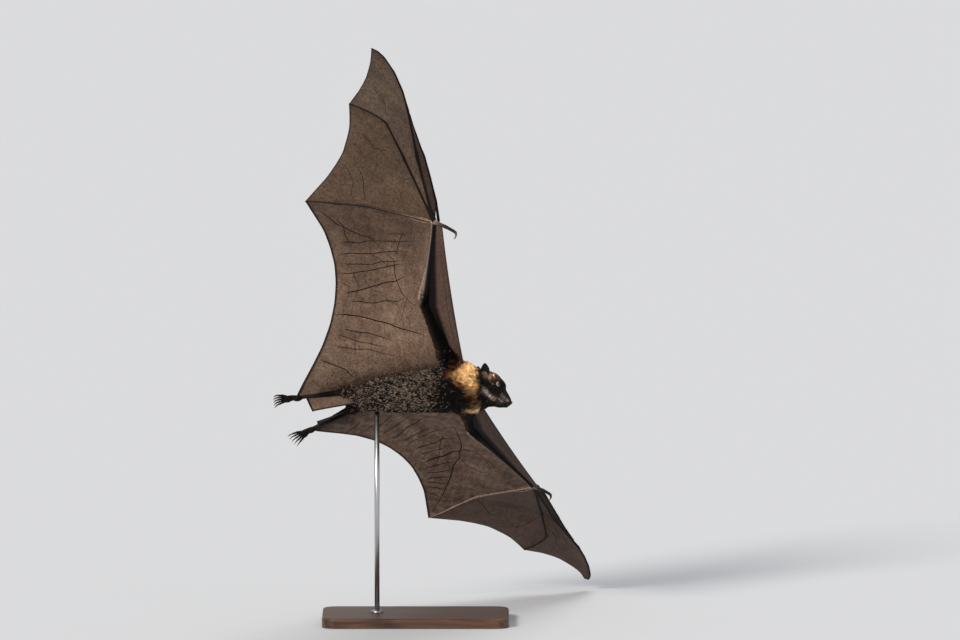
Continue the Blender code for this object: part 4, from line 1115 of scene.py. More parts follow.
# The head is made finer first, then the parts round the eyes.
for chosen in (lambda p: beyond_neck(p) > -3, lambda p: from_eyes(p) < 9.5):
    inside = chosen(head_places(np.array([v.co for v in shape.verts])))
    shape.verts.index_update()
    edges = [e for e in shape.edges if inside[e.verts[0].index] and inside[e.verts[1].index]]
    bmesh.ops.subdivide_edges(shape, edges=edges, cuts=1, use_grid_fill=True)
    inside = chosen(head_places(np.array([v.co for v in shape.verts])))
    ease(shape, [v for v, is_inside in zip(shape.verts, inside) if is_inside], 3)
shape.to_mesh(skin_mesh)
shape.free()


def hump(spots, centre, size):
    """Soft bump of height 1 round a place of the animal or its head, on both sides."""
    away = spots - np.asarray(centre, float)
    away[:, 1] = np.abs(spots[:, 1]) - centre[1]
    return np.exp(-((away / np.asarray(size, float)) ** 2).sum(1))


def mouth_height(x):
    return np.interp(x, (-21, -17, -12, -7, -3, 0), (-11.4, -11.9, -11.0, -9.6, -8.4, -7.8))


# Forms of the head, in mm: height, centre and size. Brow, cheek bone, temple, stop, crown, bridge of
# the nose, lip cushion and chin.
HEAD_FORMS = (
    (0.9, (-40, 12, 15), (7, 4, 4)), (1.1, (-44, 18, -8), (9, 6, 6)), (-0.9, (-52, 18, 9), (6, 5, 6)),
    (2.6, (-29, 5, 13), (7.5, 8, 6)), (-0.5, (-48, 0, 24), (10, 2, 5)), (1.2, (-14, 3, 6), (8, 5, 4)),
    (0.7, (-12, 8, -5), (6, 3, 3.4)), (0.6, (-6, 0, -12), (4, 5, 2.5)),
)
LID_OPEN = (0.90, 0.80)
LID_THICK = 0.55


def eye_axes(side):
    """Unit vectors of an eye: outward through the pupil, forward and upward."""
    out = unit(np.array((0.34, side * 0.9, 0.27)))
    fore = unit(np.cross(np.cross(out, (1, 0, 0)), out))
    return out, fore, np.cross(out, fore)


def shape_head(spots, normals):
    """Moves points of the head, in its own axes and millimetres, to form its features."""
    rise = sum(height * hump(spots, centre, size) for height, centre, size in HEAD_FORMS)
    # Lips meet in a groove that runs from under the nose to the corner of the mouth.
    x, _, z = spots.T
    gap = z - mouth_height(x)
    front = ramp(-22.5, -19.0, x)
    rise -= 1.15 * bell(gap / 0.62) * front
    rise += 0.5 * bell((gap - 1.9) / 1.2) * front + 0.3 * bell((gap + 1.6) / 1.1) * front
    # Whisker rows and short folds on the muzzle.
    rise += 0.16 * np.sin(x * 1.9 + z * 1.1) * hump(spots, (-15, 8, -4), (7, 4, 5))
    moved = spots + normals * rise[:, None]
    # Lids wrap the eyeball outside a nearly round opening.
    for side in (1, -1):
        centre = EYE * (1, side, 1)
        out, fore, up = eye_axes(side)
        away = moved - centre
        far = np.linalg.norm(away, axis=1)
        way = away / far[:, None]
        share = np.hypot(way @ fore / LID_OPEN[0], way @ up / LID_OPEN[1])
        near = (way @ out > 0) & (far < EYE_RADIUS * 2.6)
        lid = EYE_RADIUS + LID_THICK + 0.25 * bell((share - 1.12) / 0.1)
        lid = lid - 0.5 * bell((share - 1.42) / 0.12)
        outer = np.maximum(far * ramp(1.0, 1.35, share), lid)
        outer = np.where(share > 1.35, np.maximum(far, lid * ramp(2.4, 1.35, share)), outer)
        inner = EYE_RADIUS - 1.3
        radius = inner + (outer - inner) * ramp(0.9, 1.0, share)
        moved = centre + way * np.where(near, radius, far)[:, None]
    return moved


def nape(h):
    """Share of 1 at the back of the neck, between and behind the ears."""
    x, y, z = h.T
    return bell((x + 77) / 10, y / 16, (z - 17) / 10)


row_points = points_of(skin_mesh)
spots = head_places(row_points)
at_head = beyond_neck(spots) > -6
head_normals = turned_by(UNHEAD, turned_by(UNROW, normals_at(skin_mesh)[at_head]))
fade = ramp(-6, 0, beyond_neck(spots)[at_head])[:, None]
formed = spots[at_head] * (1 - fade) + shape_head(spots[at_head], head_normals) * fade
row_points[at_head] = moved_by(ROW, moved_by(HEAD, formed * MM))
# The nape dips towards the ears, and the coat lies lower there.
row_points = row_points - normals_at(skin_mesh) * (6.0 * MM * nape(spots))[:, None]
skin_mesh.vertices.foreach_set("co", row_points.ravel())

# Colours of the coat and the skin under it, front to back.
COAT_BLACK = linear("#0f0b0a")
COAT_BROWN = linear("#2a201b")
COAT_RUMP = linear("#4c382e")
GOLD = linear("#c89a60")
GOLD_PALE = linear("#f4d298")
GOLD_DEEP = linear("#6e4628")
THROAT_BUFF = linear("#d9c49a")
FACE_BROWN = linear("#221814")
FACE_BLACK = linear("#120e0d")
CHEEK = linear("#c9b2a6")
FOREHEAD = linear("#c8a07c")
LIMB_SKIN = linear("#151010")
SHOULDER_RED = linear("#523a2c")


def along_limb(points, start, end):
    """Share of the way along a bone, distance from it in mm, and how much of that is tailward."""
    way = end - start
    share = np.clip((points - start) @ way / (way @ way), -0.2, 1.2)
    off = points - (start + share[:, None] * way)
    away = np.linalg.norm(off, axis=1)
    return share, away / MM, -off[:, 0] / np.maximum(away, MM)


def coat_colour(points):
    """Colour of hair, and of the skin beneath, at places in the animal's axes."""
    p = points / MM
    x, y, z = p.T
    h = moved_by(UNHEAD, points) / MM
    head_x, head_y, head_z = h.T
    under = ramp(-5, -25, z)
    colour = blend(COAT_BROWN, COAT_BLACK, 0.45 + 0.35 * patches(points, 45 * MM, 2) * under)
    colour = blend(colour, COAT_RUMP, 0.8 * ramp(-110, -165, x))
    upper = ramp(-42, -22, z)
    colour = blend(colour, COAT_BLACK, ramp(-62, -34, x - 16 * upper))
    # Golden mantle round the neck and shoulders; the throat stays dark in the middle.
    low = ramp(-15, -47, z)
    ahead = x + 1 - 36 * low + 17 * low * ramp(0, 12, y)
    ahead = ahead - 9 * ramp(37, 47, np.abs(y))
    ahead = ahead + 8 * (patches(points, 20 * MM, 3) - 0.5) + 16 * (patches(points, 5 * MM, 13) - 0.5)
    mantle = ramp(-4, 4, ahead) * ramp(60, 44, np.abs(y))
    glow = hump(p, (34, 33, -24), (17, 20, 24)) + hump(p, (36, 22, 20), (22, 26, 24))
    gold = blend(GOLD_DEEP, GOLD, ramp(4, 22, ahead))
    gold = blend(gold, GOLD_PALE, 0.85 * np.clip(glow, 0, 1) * ramp(4, 16, ahead))
    gold = blend(gold, GOLD_DEEP, 0.4 * patches(points, 11 * MM, 4))
    beneath = ramp(-33, -42, z)
    dull = 0.1 + 0.55 * patches(points, 4 * MM, 19)
    gold = blend(gold, COAT_BROWN, dull * beneath * ramp(9, -2, y))
    buff = 0.2 + 0.6 * patches(points, 5 * MM, 20)
    gold = blend(gold, THROAT_BUFF, buff * beneath * ramp(-3, 10, y))
    throat = bell((x - 9) / 17, (y + 1) / 15) * ramp(-28, -42, z)
    gold = blend(gold, COAT_BROWN, np.clip(1.08 * throat, 0, 0.95))
    colour = blend(colour, gold, mantle)
    # Face: dark mask round the eye, pale stripe down the cheek, warm brow, black lips and chin.
    behind = 1.3 * np.maximum(-27 - head_z, 0) + 8 * (patches(points, 5 * MM, 18) - 0.5)
    face = ramp(-7.5, -1, head_x + 64.0 + 0.6 * (head_z + 12) - behind)
    tone = blend(FACE_BROWN, FACE_BLACK, 0.3 + 0.5 * patches(points, 9 * MM, 8))
    brow = hump(h, (-60, 19, 8), (9, 8, 7)) + hump(h, (-52, 11, 17), (10, 9, 7)) * 0.8
    tone = blend(tone, FOREHEAD, 0.9 * np.clip(brow, 0, 1))
    tone = blend(tone, FACE_BLACK, np.clip(1.3 * hump(h, (-41, 17, 4), (8, 6, 7)), 0, 1))
    rear = hump(h, (-65, 25, -9), (7, 9, 10)) + hump(h, (-52, 23, -27), (7, 9, 8))
    rear = rear + hump(h, (-49, 22, -4), (6, 7, 6))
    tone = blend(tone, FACE_BLACK, np.clip(1.7 * rear, 0, 1))
    stripe_height = np.interp(head_x, (-58, -41, -28, -17), (-16.0, -17.6, -15.6, -13.0))
    stripe = bell((head_z - stripe_height - 0.8) / 2.9) * ramp(-60, -50, head_x)
    stripe = stripe * ramp(-13, -20, head_x) * ramp(4, 8, np.abs(head_y))
    tone = blend(tone, CHEEK, 0.95 * stripe)
    # A paler patch on the side of the muzzle, and a pale spot beside the nose that is a painted highlight.
    pale_muzzle_and_highlight = 0.3 * hump(h, (-22, 9, -4), (8, 4, 4)) + 0.5 * hump(h, (-10.5, 8, -3.6), (2.6, 3, 2.0))
    tone = blend(tone, CHEEK, pale_muzzle_and_highlight)
    tone = blend(tone, FACE_BLACK, 0.8 * hump(h, (-30, 4, 12), (9, 7, 4)))
    tone = blend(tone, CHEEK, 0.35 * hump(h, (-46, 21, 1), (3.5, 5, 1.6)))
    tone = tone * (0.3 + 1.4 * patches(points, 2.8 * MM, 10))[:, None]
    chin = ramp(0.5, -1.0, head_z - mouth_height(head_x)) * ramp(-36, -24, head_x)
    tone = blend(tone, FACE_BLACK, 0.9 * chin)
    colour = blend(colour, tone, face)
    for bones in SKELETON.values():
        share, away, behind = along_limb(points, bones["shoulder"], bones["elbow"])
        on_arm = ramp(26, 16, away) * ramp(0.12, 0.3, share)
        red = 0.75 * ramp(-0.3, 0.6, behind) * ramp(0.1, 0.3, share)
        colour = blend(colour, blend(COAT_BLACK, SHOULDER_RED, red), on_arm)
        share, away, behind = along_limb(points, bones["elbow"], bones["wrist"])
        # The tailward side of the forearm, most of all at the elbow, is lightened with the joint tint: a
        # painted highlight.
        pale = ramp(0.0, 0.55, behind) * (0.45 + 0.5 * bell(share / 0.08))
        bare = blend(LIMB_SKIN, JOINT_HIGHLIGHT, pale)
        colour = blend(colour, bare, ramp(16, 9, away) * ramp(-0.04, 0.03, share))
        share, away, behind = along_limb(points, bones["knee"], bones["ankle"])
        colour = blend(colour, LIMB_SKIN, ramp(12, 7, away) * ramp(0.05, 0.35, share))
    return colour


skin_colours = coat_colour(moved_by(UNROW, points_of(skin_mesh))) * 0.75
lid_dark = bell((from_eyes(head_places(points_of(skin_mesh))) - EYE_RADIUS - 0.5) / 1.1)
set_stain(skin_mesh, blend(skin_colours, FACE_BLACK, lid_dark))

# Skin under fur: dark, dry and finely pored, so it looks matt; on the forearm and muzzle it shows bare.
# Pores are about 1 mm apart and creases about 2 mm.
hide_leather, tree, shader = start_material("furred_hide")
coords = add_node(tree, "TexCoord")
stain_node = add_node(tree, "Attribute", {"attribute_name": "stain"})
pores = add_node(tree, "TexNoise", inputs={"Scale": cells(1.11), "Detail": 4.0},
                 links={"Vector": (coords, "Object")})
creases = add_node(tree, "TexVoronoi", {"feature": "DISTANCE_TO_EDGE"}, {"Scale": cells(1.92)},
                   {"Vector": (coords, "Object")})
pore_bump = add_node(tree, "Bump", inputs={"Strength": 0.35, "Distance": 0.0003},
                     links={"Height": (pores, "Fac")})
crease_bump = add_node(tree, "Bump", inputs={"Strength": 0.3, "Distance": 0.0004},
                       links={"Height": (creases, "Distance"), "Normal": (pore_bump, "Normal")})
wire(tree, shader, {"Roughness": 0.62, "Specular IOR Level": 0.18},
     {"Base Color": (stain_node, "Color"), "Normal": (crease_bump, "Normal")})

limbs = [f"{part}_{label}" for part in ("upper_arm", "forearm", "shin") for label in ("left", "right")]
finish_piece("body_skin", skin_mesh, hide_leather, ["trunk", "neck", "head"] + limbs)

# ------------------------------------------------------------------ eyes
# Large wet eyes: a clear bulging front over a brown iris, a round black pupil and a dark rim. They
# stand a little out of the head.

# Wet eye: a clear front under a film of tears gives one smooth, sharp gloss over a softer one.
eye_ball, tree, shader = start_material("wet_eye")
stain_node = add_node(tree, "Attribute", {"attribute_name": "stain"})
wire(tree, shader, {"Roughness": 0.25, "IOR": 1.376, "Coat Weight": 0.4, "Coat Roughness": 0.02},
     {"Base Color": (stain_node, "Color")})
IRIS = linear("#b7a190")
IRIS_DEEP = linear("#4a2c1f")
for side, label in ((-1, "right"), (1, "left")):
    out, fore, up = eye_axes(side)
    lean, turn = np.meshgrid(np.linspace(0, pi, 49), np.linspace(0, 2 * pi, 49))
    dome = 1 + 0.09 * bell(lean / 0.6)
    ring = np.cos(turn)[..., None] * fore + np.sin(turn)[..., None] * up
    ways = np.cos(lean)[..., None] * out + np.sin(lean)[..., None] * ring
    ball = EYE * (1, side, 1) + ways * (EYE_RADIUS * dome)[..., None]
    rays = 0.5 + 0.5 * np.sin(turn * 37) * np.sin(turn * 11 + 1)
    colour = blend(IRIS_DEEP, IRIS, ramp(0.55, 0.72, lean) * (0.75 + 0.25 * rays))
    colour = blend(colour, FACE_BLACK, ramp(0.62, 0.56, lean) + ramp(0.86, 0.95, lean))
    eye = Surfaces()
    eye.add(moved_by(HEAD, ball * MM), colour)
    eye.finish("eye_" + label + "_ball", eye_ball, "eye_brown", ["eye_" + label])

# ------------------------------------------------------------------ nose
# Bare black pad with two round nostrils that open forward and outward, parted by a groove. It is
# moist leather-like skin on the end of the muzzle.

# Moist nose leather: pebbled in grains about 0.6 mm wide, with a thin wet coat that glints on them.
nose_pad, tree, shader = start_material("moist_nose_leather")
coords = add_node(tree, "TexCoord")
pebble = add_node(tree, "TexVoronoi", {"feature": "DISTANCE_TO_EDGE"}, {"Scale": cells(0.62)},
                  {"Vector": (coords, "Object")})
pebble_bump = add_node(tree, "Bump", inputs={"Strength": 0.5, "Distance": 0.0003},
                       links={"Height": (pebble, "Distance")})
wire(tree, shader, {"Base Color": linear("#171314"), "Roughness": 0.32, "Coat Weight": 0.25},
     {"Normal": (pebble_bump, "Normal")})
lean, turn = np.meshgrid(np.linspace(0, pi, 73), np.linspace(0, 2 * pi, 97))
ways = np.stack([np.cos(lean), np.sin(lean) * np.cos(turn), np.sin(lean) * np.sin(turn)], -1)
pad = np.array((-3.9, 0, -2.2)) + ways * np.array((3.9, 4.7, 3.7))
flat = pad.reshape(-1, 3)
swell = 0.9 * hump(flat, (-2.4, 3.4, -1.6), (2.6, 1.6, 2.2))
swell -= 2.2 * hump(flat, (-0.9, 2.7, -1.9), (2.0, 0.95, 0.85))
swell -= 0.6 * bell(flat[:, 1] / 0.45) * ramp(-3, -1, flat[:, 0])
pad = pad + ways * swell.reshape(lean.shape)[..., None]
nose = Surfaces()
nose.add(moved_by(HEAD, pad * MM))
nose.finish("nose_pad", nose_pad, "nose_skin", ["nose"])

# ------------------------------------------------------------------ ears
# Short pointed leaves of thin bare skin over gristle, cupped outward, with a rolled rim and faint
# cross ridges. They grow from the head behind the eyes.

EAR_BASE = np.array((-68.5, 15.5, 11.2))
EAR_TIP = np.array((-76.0, 20.5, 22.5))
EAR_THICK = 1.1
EAR_DARK = linear("#070607")
EAR_INNER = linear("#0f0c0d")
for side, label in ((-1, "right"), (1, "left")):
    base, tip = EAR_BASE * (1, side, 1), EAR_TIP * (1, side, 1)
    along = unit(tip - base)
    across = np.array((0.82, 0.0, 0.57))
    across = unit(across - along * (across @ along))
    out = np.cross(along, across) * side
    u, v = np.meshgrid(np.linspace(-1, 1, 41), np.linspace(-0.45, 1, 61))
    half = np.interp(v, (-0.45, 0, 0.2, 0.4, 0.6, 0.8, 0.93, 1.0), (7.6, 7.9, 7.8, 7.2, 5.9, 3.9, 2.0, 0.5))
    wide = u * half
    bend = (wide / 7.8) ** 2 * 3.2 + 0.5 * np.abs(u) ** 6 * (1 - np.clip(v, 0, 1))
    ridge = 0.22 * np.sin(v * 26) * bell(u / 0.55) * ramp(0.9, 0.5, v)
    middle = base + (tip - base) * v[..., None] + across * wide[..., None] + out * (bend + ridge)[..., None]
    half_wall = (EAR_THICK / 2 * np.sqrt(np.clip(1 - u**8, 0, 1)) * ramp(1.0, 0.96, v))[..., None] * out
    tone = blend(EAR_DARK, EAR_INNER, 0.3 + 0.3 * np.cos(u * 4))
    leaf = np.concatenate([middle + half_wall, (middle - half_wall)[::-1]])
    ear = Surfaces()
    ear.add(moved_by(HEAD, leaf * MM), np.concatenate([tone, tone[::-1]]))
    ear.finish("ear_" + label + "_leaf", hide_leather, "ear_skin", ["ear_" + label])

# ------------------------------------------------------------------ feet and tail skin
# Flat feet with five like toes turned backward, a spur of gristle from each ankle, and between them
# and the rump a narrow strip of skin. All of it is bare skin like the wing's.

FOOT, TOE = 19 * MM, 13 * MM
CALCAR = (6.7 * MM, 21.1 * MM, -13.2 * MM)

def tail_panel(bones):
    """Strip behind the rump: u from the shin to its free edge, v from the knee to the calcar."""
    side = bones["side"]
    root = bones["knee"] + (bones["ankle"] - bones["knee"]) * 0.82
    tip = root + np.array((CALCAR[0], -side * CALCAR[1], CALCAR[2]))
    tail = np.array((-168 * MM, side * 3 * MM, -27 * MM))

    def place(u, v):
        u, v = np.asarray(u, float), np.asarray(v, float)
        outer = between(bones["knee"], root, v)
        inner = between(tail, tip, v)
        draw = np.array((0, side * 1.0, 0)) * (0.6 * MM * np.sin(pi * v) * u)[..., None]
        folds = 0.3 * MM * np.sin(pi * u) * np.sin(2 * pi * v * 5)
        return outer + (inner - outer) * u[..., None] + draw + DORSAL * folds[..., None]

    return place


def foot_frame(bones):
    """Ways across and under a foot, the ball, and each toe's root, end and way."""
    way = bones["foot_way"]
    sideways = unit(np.cross(DORSAL, way))
    under = np.cross(way, sideways)
    under = under * (-1 if under[2] > 0 else 1)
    ball = bones["ankle"] + way * FOOT
    toes = []
    for toe in range(5):
        fan = (toe - 2) / 2
        root = ball - way * 4.5 * MM + sideways * fan * 4.9 * MM
        toe_way = unit(way + sideways * fan * 0.3 - under * 0.12)
        toes.append((root, root + toe_way * (TOE + 4.5 * MM), toe_way))
    return sideways, under, ball, toes


def add_tail_skin(surfaces, bones):
    """Strip of skin from knee and shin to the rump, and the spur in its edge."""
    place = tail_panel(bones)
    hem = hem_width(lambda u, v: place(v, u), 1.2 * MM)

    def thickness(u, v):
        bead = ramp(1 - 2 * hem, 1 - hem, u) * 0.5 * MM
        near = np.exp(-u / 0.08) * 1.2 * MM
        return (MEMBRANE + bead + near) * rim(u, v, 0.02, 0.006)

    def stain(u, v):
        base = blend(SKIN_ARM, SKIN_ARM_PALE, 0.6 * patches(place(u, v), 25 * MM, 12))
        base = blend(base, SKIN_DARK, 0.7 * np.exp(-u / 0.25) + 0.6 * ramp(0.3, 0.0, v))
        if bones["side"] > 0:
            base = blend(base, SKIN_SHADOW, 0.9)
        return blend(base, SKIN_HEM, 0.9 * ramp(1 - 3 * hem, 1 - 1.2 * hem, u))

    pillow(surfaces, place, 26, 60, thickness, stain)
    root = bones["knee"] + (bones["ankle"] - bones["knee"]) * 0.82
    spur = np.array((CALCAR[0], -bones["side"] * CALCAR[1], CALCAR[2]))
    share = np.linspace(0, 1, 24)
    radii = np.interp(share, (0, 0.6, 1), (1.9, 1.5, 0.9)) * MM
    surfaces.add(tube(between(root, root + spur, share), radii, 10), SKIN_HEM)


def add_foot(surfaces, bones):
    """Flat sole, heel and toes, finely creased."""
    sideways, under, ball, toes = foot_frame(bones)
    way = bones["foot_way"]
    share, thick = along_bone((0, 0.3, 0.85, 1), (4.0, 4.8, 6.6, 5.0), 34)
    arch = np.outer(1.3 * MM * np.sin(pi * share), under)
    path = between(bones["ankle"] - way * 1.5 * MM, ball, share) - arch
    surfaces.add(tube(path, thick * (1 + 0.03 * np.sin(share * 60)), 22, sideways, 0.6), LIMB_SKIN)
    # The heel is thicker than the shin and runs into the sole.
    heel = bones["ankle"] - bones["shin_way"] * 9 * MM
    share, thick = along_bone((0, 0.4, 0.7, 1), (2.0, 4.2, 4.4, 2.6), 26)
    sag = np.outer(2.6 * MM * np.sin(pi * share), under)
    path = between(heel, bones["ankle"] + way * 9 * MM, share) + sag
    surfaces.add(tube(path, thick, 18, sideways, 0.8), LIMB_SKIN)
    marks = (0, 0.3, 0.42, 0.55, 0.78, 0.9, 1)
    share, thick = along_bone(marks, (1.9, 1.55, 1.4, 1.75, 1.4, 1.65, 1.25), 34)
    arch = np.outer(1.5 * MM * np.sin(pi * share) ** 2, under)
    creases = 1 + 0.05 * np.sin(share * 110)
    # Toes are a little lighter than the sole: a painted highlight.
    for start, end, _ in toes:
        toe = tube(between(start, end, share) - arch, thick * creases, 12)
        surfaces.add(toe, blend(LIMB_SKIN, SKIN_DARK, 0.25))


for label, skeleton in SKELETON.items():
    leg = Surfaces()
    add_tail_skin(leg, skeleton)
    add_foot(leg, skeleton)
    replaced = [f"{part}_{label}" for part in ("tail_skin", "calcar", "foot")]
    leg.finish("leg_skin_" + label, wing_leather, "limb_skin", replaced)

# ------------------------------------------------------------------ claws
# Hooked claws of black horn on all ten toes and on the thumbs: narrow, deep at the root and needle
# sharp, polished by climbing.

TOE_CLAW, THUMB_CLAW = 12 * MM, 16 * MM

# Black horn: dense and polished, with growth lines about 1.4 mm apart that break its clear gloss.
horn, tree, shader = start_material("polished_black_horn")
coords = add_node(tree, "TexCoord")
growth = add_node(tree, "TexNoise", inputs={"Scale": cells(1.43), "Detail": 3.0},
                  links={"Vector": (coords, "Object")})
horn_tone = add_node(tree, "ValToRGB", links={"Fac": (growth, "Fac")},
                     stops=((0.3, "#0f0c0b"), (0.7, "#2e2622")))
growth_bump = add_node(tree, "Bump", inputs={"Strength": 0.2, "Distance": 0.0002},
                       links={"Height": (growth, "Fac")})
wire(tree, shader, {"Roughness": 0.28, "IOR": 1.54},
     {"Base Color": (horn_tone, "Color"), "Normal": (growth_bump, "Normal")})


def add_claw(surfaces, root, along, down, length, curl, width, count=18):
    """Hook that leaves its root along one way and turns toward another."""
    turn = radians(curl) * np.linspace(0, 1, count)[1:, None]
    steps = (along * np.cos(turn) + down * np.sin(turn)) * length / (count - 1)
    path = np.concatenate([[root], root + np.cumsum(steps, axis=0)])
    taper = np.interp(np.linspace(0, 1, count), (0, 0.08, 0.4, 0.75, 1), (0.85, 1.0, 0.78, 0.42, 0.07))
    surfaces.add(tube(path, width * taper, 12, down, 0.6))


for label, skeleton in SKELETON.items():
    _, under, _, toes = foot_frame(skeleton)
    curl = POSE[label]["claw_curl"]
    claws = Surfaces()
    for _, end, toe_way in toes:
        add_claw(claws, end - toe_way * 0.8 * MM, toe_way, under, TOE_CLAW, curl, 1.75 * MM)
    replaced = [f"toe_claw{toe}_{label}" for toe in range(1, 6)]
    claws.finish("toe_claws_" + label, horn, "claw_horn", replaced, 0.01 * MM)
    thumb_way = skeleton["thumb_way"]
    back = np.array(POSE[label]["thumb_claw_way"])
    back = unit(back - thumb_way * (back @ thumb_way))
    tip = skeleton["wrist"] + thumb_way * (POSE[label]["thumb_length"] - 1.0 * MM)
    thumb_claw = Surfaces()
    add_claw(thumb_claw, tip, thumb_way, back, THUMB_CLAW, 125, 2.5 * MM)
    thumb_claw.finish("thumb_claw_" + label + "_horn", horn, "claw_horn", ["thumb_claw_" + label], 0.01 * MM)

# ------------------------------------------------------------------ coat
# Dense fur in tufts of three fine locks that lie back over one another: short and close on the face,
# grizzled and velvety on the body, long and woolly in the golden mantle, thin along the arms.

SPINE = np.array([spot for spot, _ in neck_spine(np.linspace(0, 1, 21))])
SPINE_WAY = unit(np.gradient(SPINE, axis=0))
GRIZZLE = linear("#ffe0c6")
LOCKS = 3


def scatter(mesh, wanted, seed):
    """Roots spread over a mesh of the row's frame, `wanted` per square millimetre."""
    mesh.calc_loop_triangles()
    corners = np.empty(len(mesh.loop_triangles) * 3, np.int64)
    mesh.loop_triangles.foreach_get("vertices", corners)
    corners = corners.reshape(-1, 3)
    spots = points_of(mesh)
    normals = normals_at(mesh)
    a, b, c = (spots[corners[:, i]] for i in range(3))
    area = np.linalg.norm(np.cross(b - a, c - a), axis=1) / 2 / MM**2
    weight = area * wanted(moved_by(UNROW, (a + b + c) / 3))
    total = np.cumsum(weight)
    chance = np.random.default_rng(seed)
    count = int(total[-1])
    pick = np.searchsorted(total, (np.arange(count) + chance.uniform(0, 1, count)) / count * total[-1])
    pick = np.minimum(pick, len(corners) - 1)
    share = chance.uniform(0, 1, (count, 2))
    share = np.where(share.sum(1, keepdims=True) > 1, 1 - share, share)
    parts = np.concatenate([1 - share.sum(1, keepdims=True), share], 1)[..., None]
    roots = (spots[corners[pick]] * parts).sum(1)
    ways = unit((normals[corners[pick]] * parts).sum(1))
    return moved_by(UNROW, roots), turned_by(UNROW, ways), chance


def cell_draw(points, size, salt):
    """One random number between 0 and 1 for all the places in a cell of this size."""
    key = np.floor(points / size).astype(int) @ np.array((73856093, 19349663, 83492791)) + salt
    return (np.abs(key * 2654435761) % 1000) / 1000


def body_parts(points):
    """Places in the head's axes, and how much each is on the head, arm, shin and mantle."""
    h = moved_by(UNHEAD, points) / MM
    head = ramp(-6, 1, beyond_neck(h))
    arm, shin = np.zeros(len(points)), np.zeros(len(points))
    for bones in SKELETON.values():
        share, upper, _ = along_limb(points, bones["shoulder"], bones["elbow"])
        away = np.minimum(upper, along_limb(points, bones["elbow"], bones["wrist"])[1])
        arm = np.maximum(arm, ramp(24, 15, away) * ramp(0.12, 0.3, share))
        share, away, _ = along_limb(points, bones["knee"], bones["ankle"])
        shin = np.maximum(shin, ramp(14, 8, away) * ramp(0.0, 0.12, share))
    mantle = ramp(-8, 10, points[:, 0] / MM) * (1 - head) * (1 - arm)
    return h, head, arm, shin, mantle


def share_along(points, start, end, reach):
    """Share of the way along the bone within reach of each place, or -1."""
    found = np.full(len(points), -1.0)
    for bones in SKELETON.values():
        share, away, _ = along_limb(points, bones[start], bones[end])
        found = np.where(away < reach, np.maximum(found, share), found)
    return found


def lie_of_coat(points, normals, h, head, arm, shin, mantle):
    """The way that hair points, along the skin."""
    nearest = np.abs(points[:, None] - SPINE[None]).sum(2).argmin(1)
    neckward = -SPINE_WAY[nearest]
    back = np.stack([-np.ones(len(h)), 0.10 * np.sign(h[:, 1]), np.where(h[:, 2] < -4, -0.28, 0.10)], 1)
    way = between(np.array((-1.0, 0.0, 0.0)), neckward, mantle)
    way = between(way, turned_by(HEAD, back), head)
    for bones in SKELETON.values():
        down = unit(bones["elbow"] - bones["shoulder"]) + (-0.35, 0, 0)
        outward = points[:, 1] / MM * bones["side"]
        way = between(way, down, arm * ramp(-10, 10, outward))
        way = between(way, bones["shin_way"], shin * ramp(-4, 4, outward))
    return unit(way - normals * (way * normals).sum(1, keepdims=True))


def unwrap(points, h, head, arm, shin):
    """Place of each root on a flat layout of the skin: tubes opened along the belly."""
    x, y, z = points.T / MM
    head_x, head_y, head_z = h.T
    u = 0.01 + 0.58 * (np.arctan2(y, z + 8) / (2 * pi) + 0.5)
    v = 0.01 + 0.6 * np.clip((x + 195) / 285, 0, 1)
    on_head = head > 0.5
    u = np.where(on_head, 0.62 + 0.36 * (np.arctan2(head_y, head_z + 2) / (2 * pi) + 0.5), u)
    v = np.where(on_head, 0.01 + 0.39 * np.clip((head_x + 72) / 72, 0, 1), v)
    for label, low in (("right", 0.42), ("left", 0.64)):
        bones = SKELETON[label]
        same_side = np.sign(y) == bones["side"]
        for start, end, limb, base, tall in (("shoulder", "wrist", arm, low, 0.2),
                                             ("knee", "ankle", shin, low + 0.2, 0.015)):
            way = unit(bones[end] - bones[start])
            off = points - bones[start]
            along = np.clip(off @ way / np.linalg.norm(bones[end] - bones[start]), 0, 1)
            across = unit(np.cross(way, DORSAL))
            turn = np.arctan2(off @ across, off @ np.cross(across, way)) / (2 * pi) + 0.5
            chosen = (limb > 0.5) & same_side
            u = np.where(chosen, 0.62 + 0.36 * along, u)
            v = np.where(chosen, base + tall * turn, v)
    return np.stack([u, v], 1)


# Hair: soft keratin, a little glossy, dark at the root and paler at the tip, so the coat looks deep.
fur, tree, shader = start_material("soft_fur")
stain_node = add_node(tree, "Attribute", {"attribute_name": "stain"})
wire(tree, shader, {"Roughness": 0.6, "Specular IOR Level": 0.15}, {"Base Color": (stain_node, "Color")})


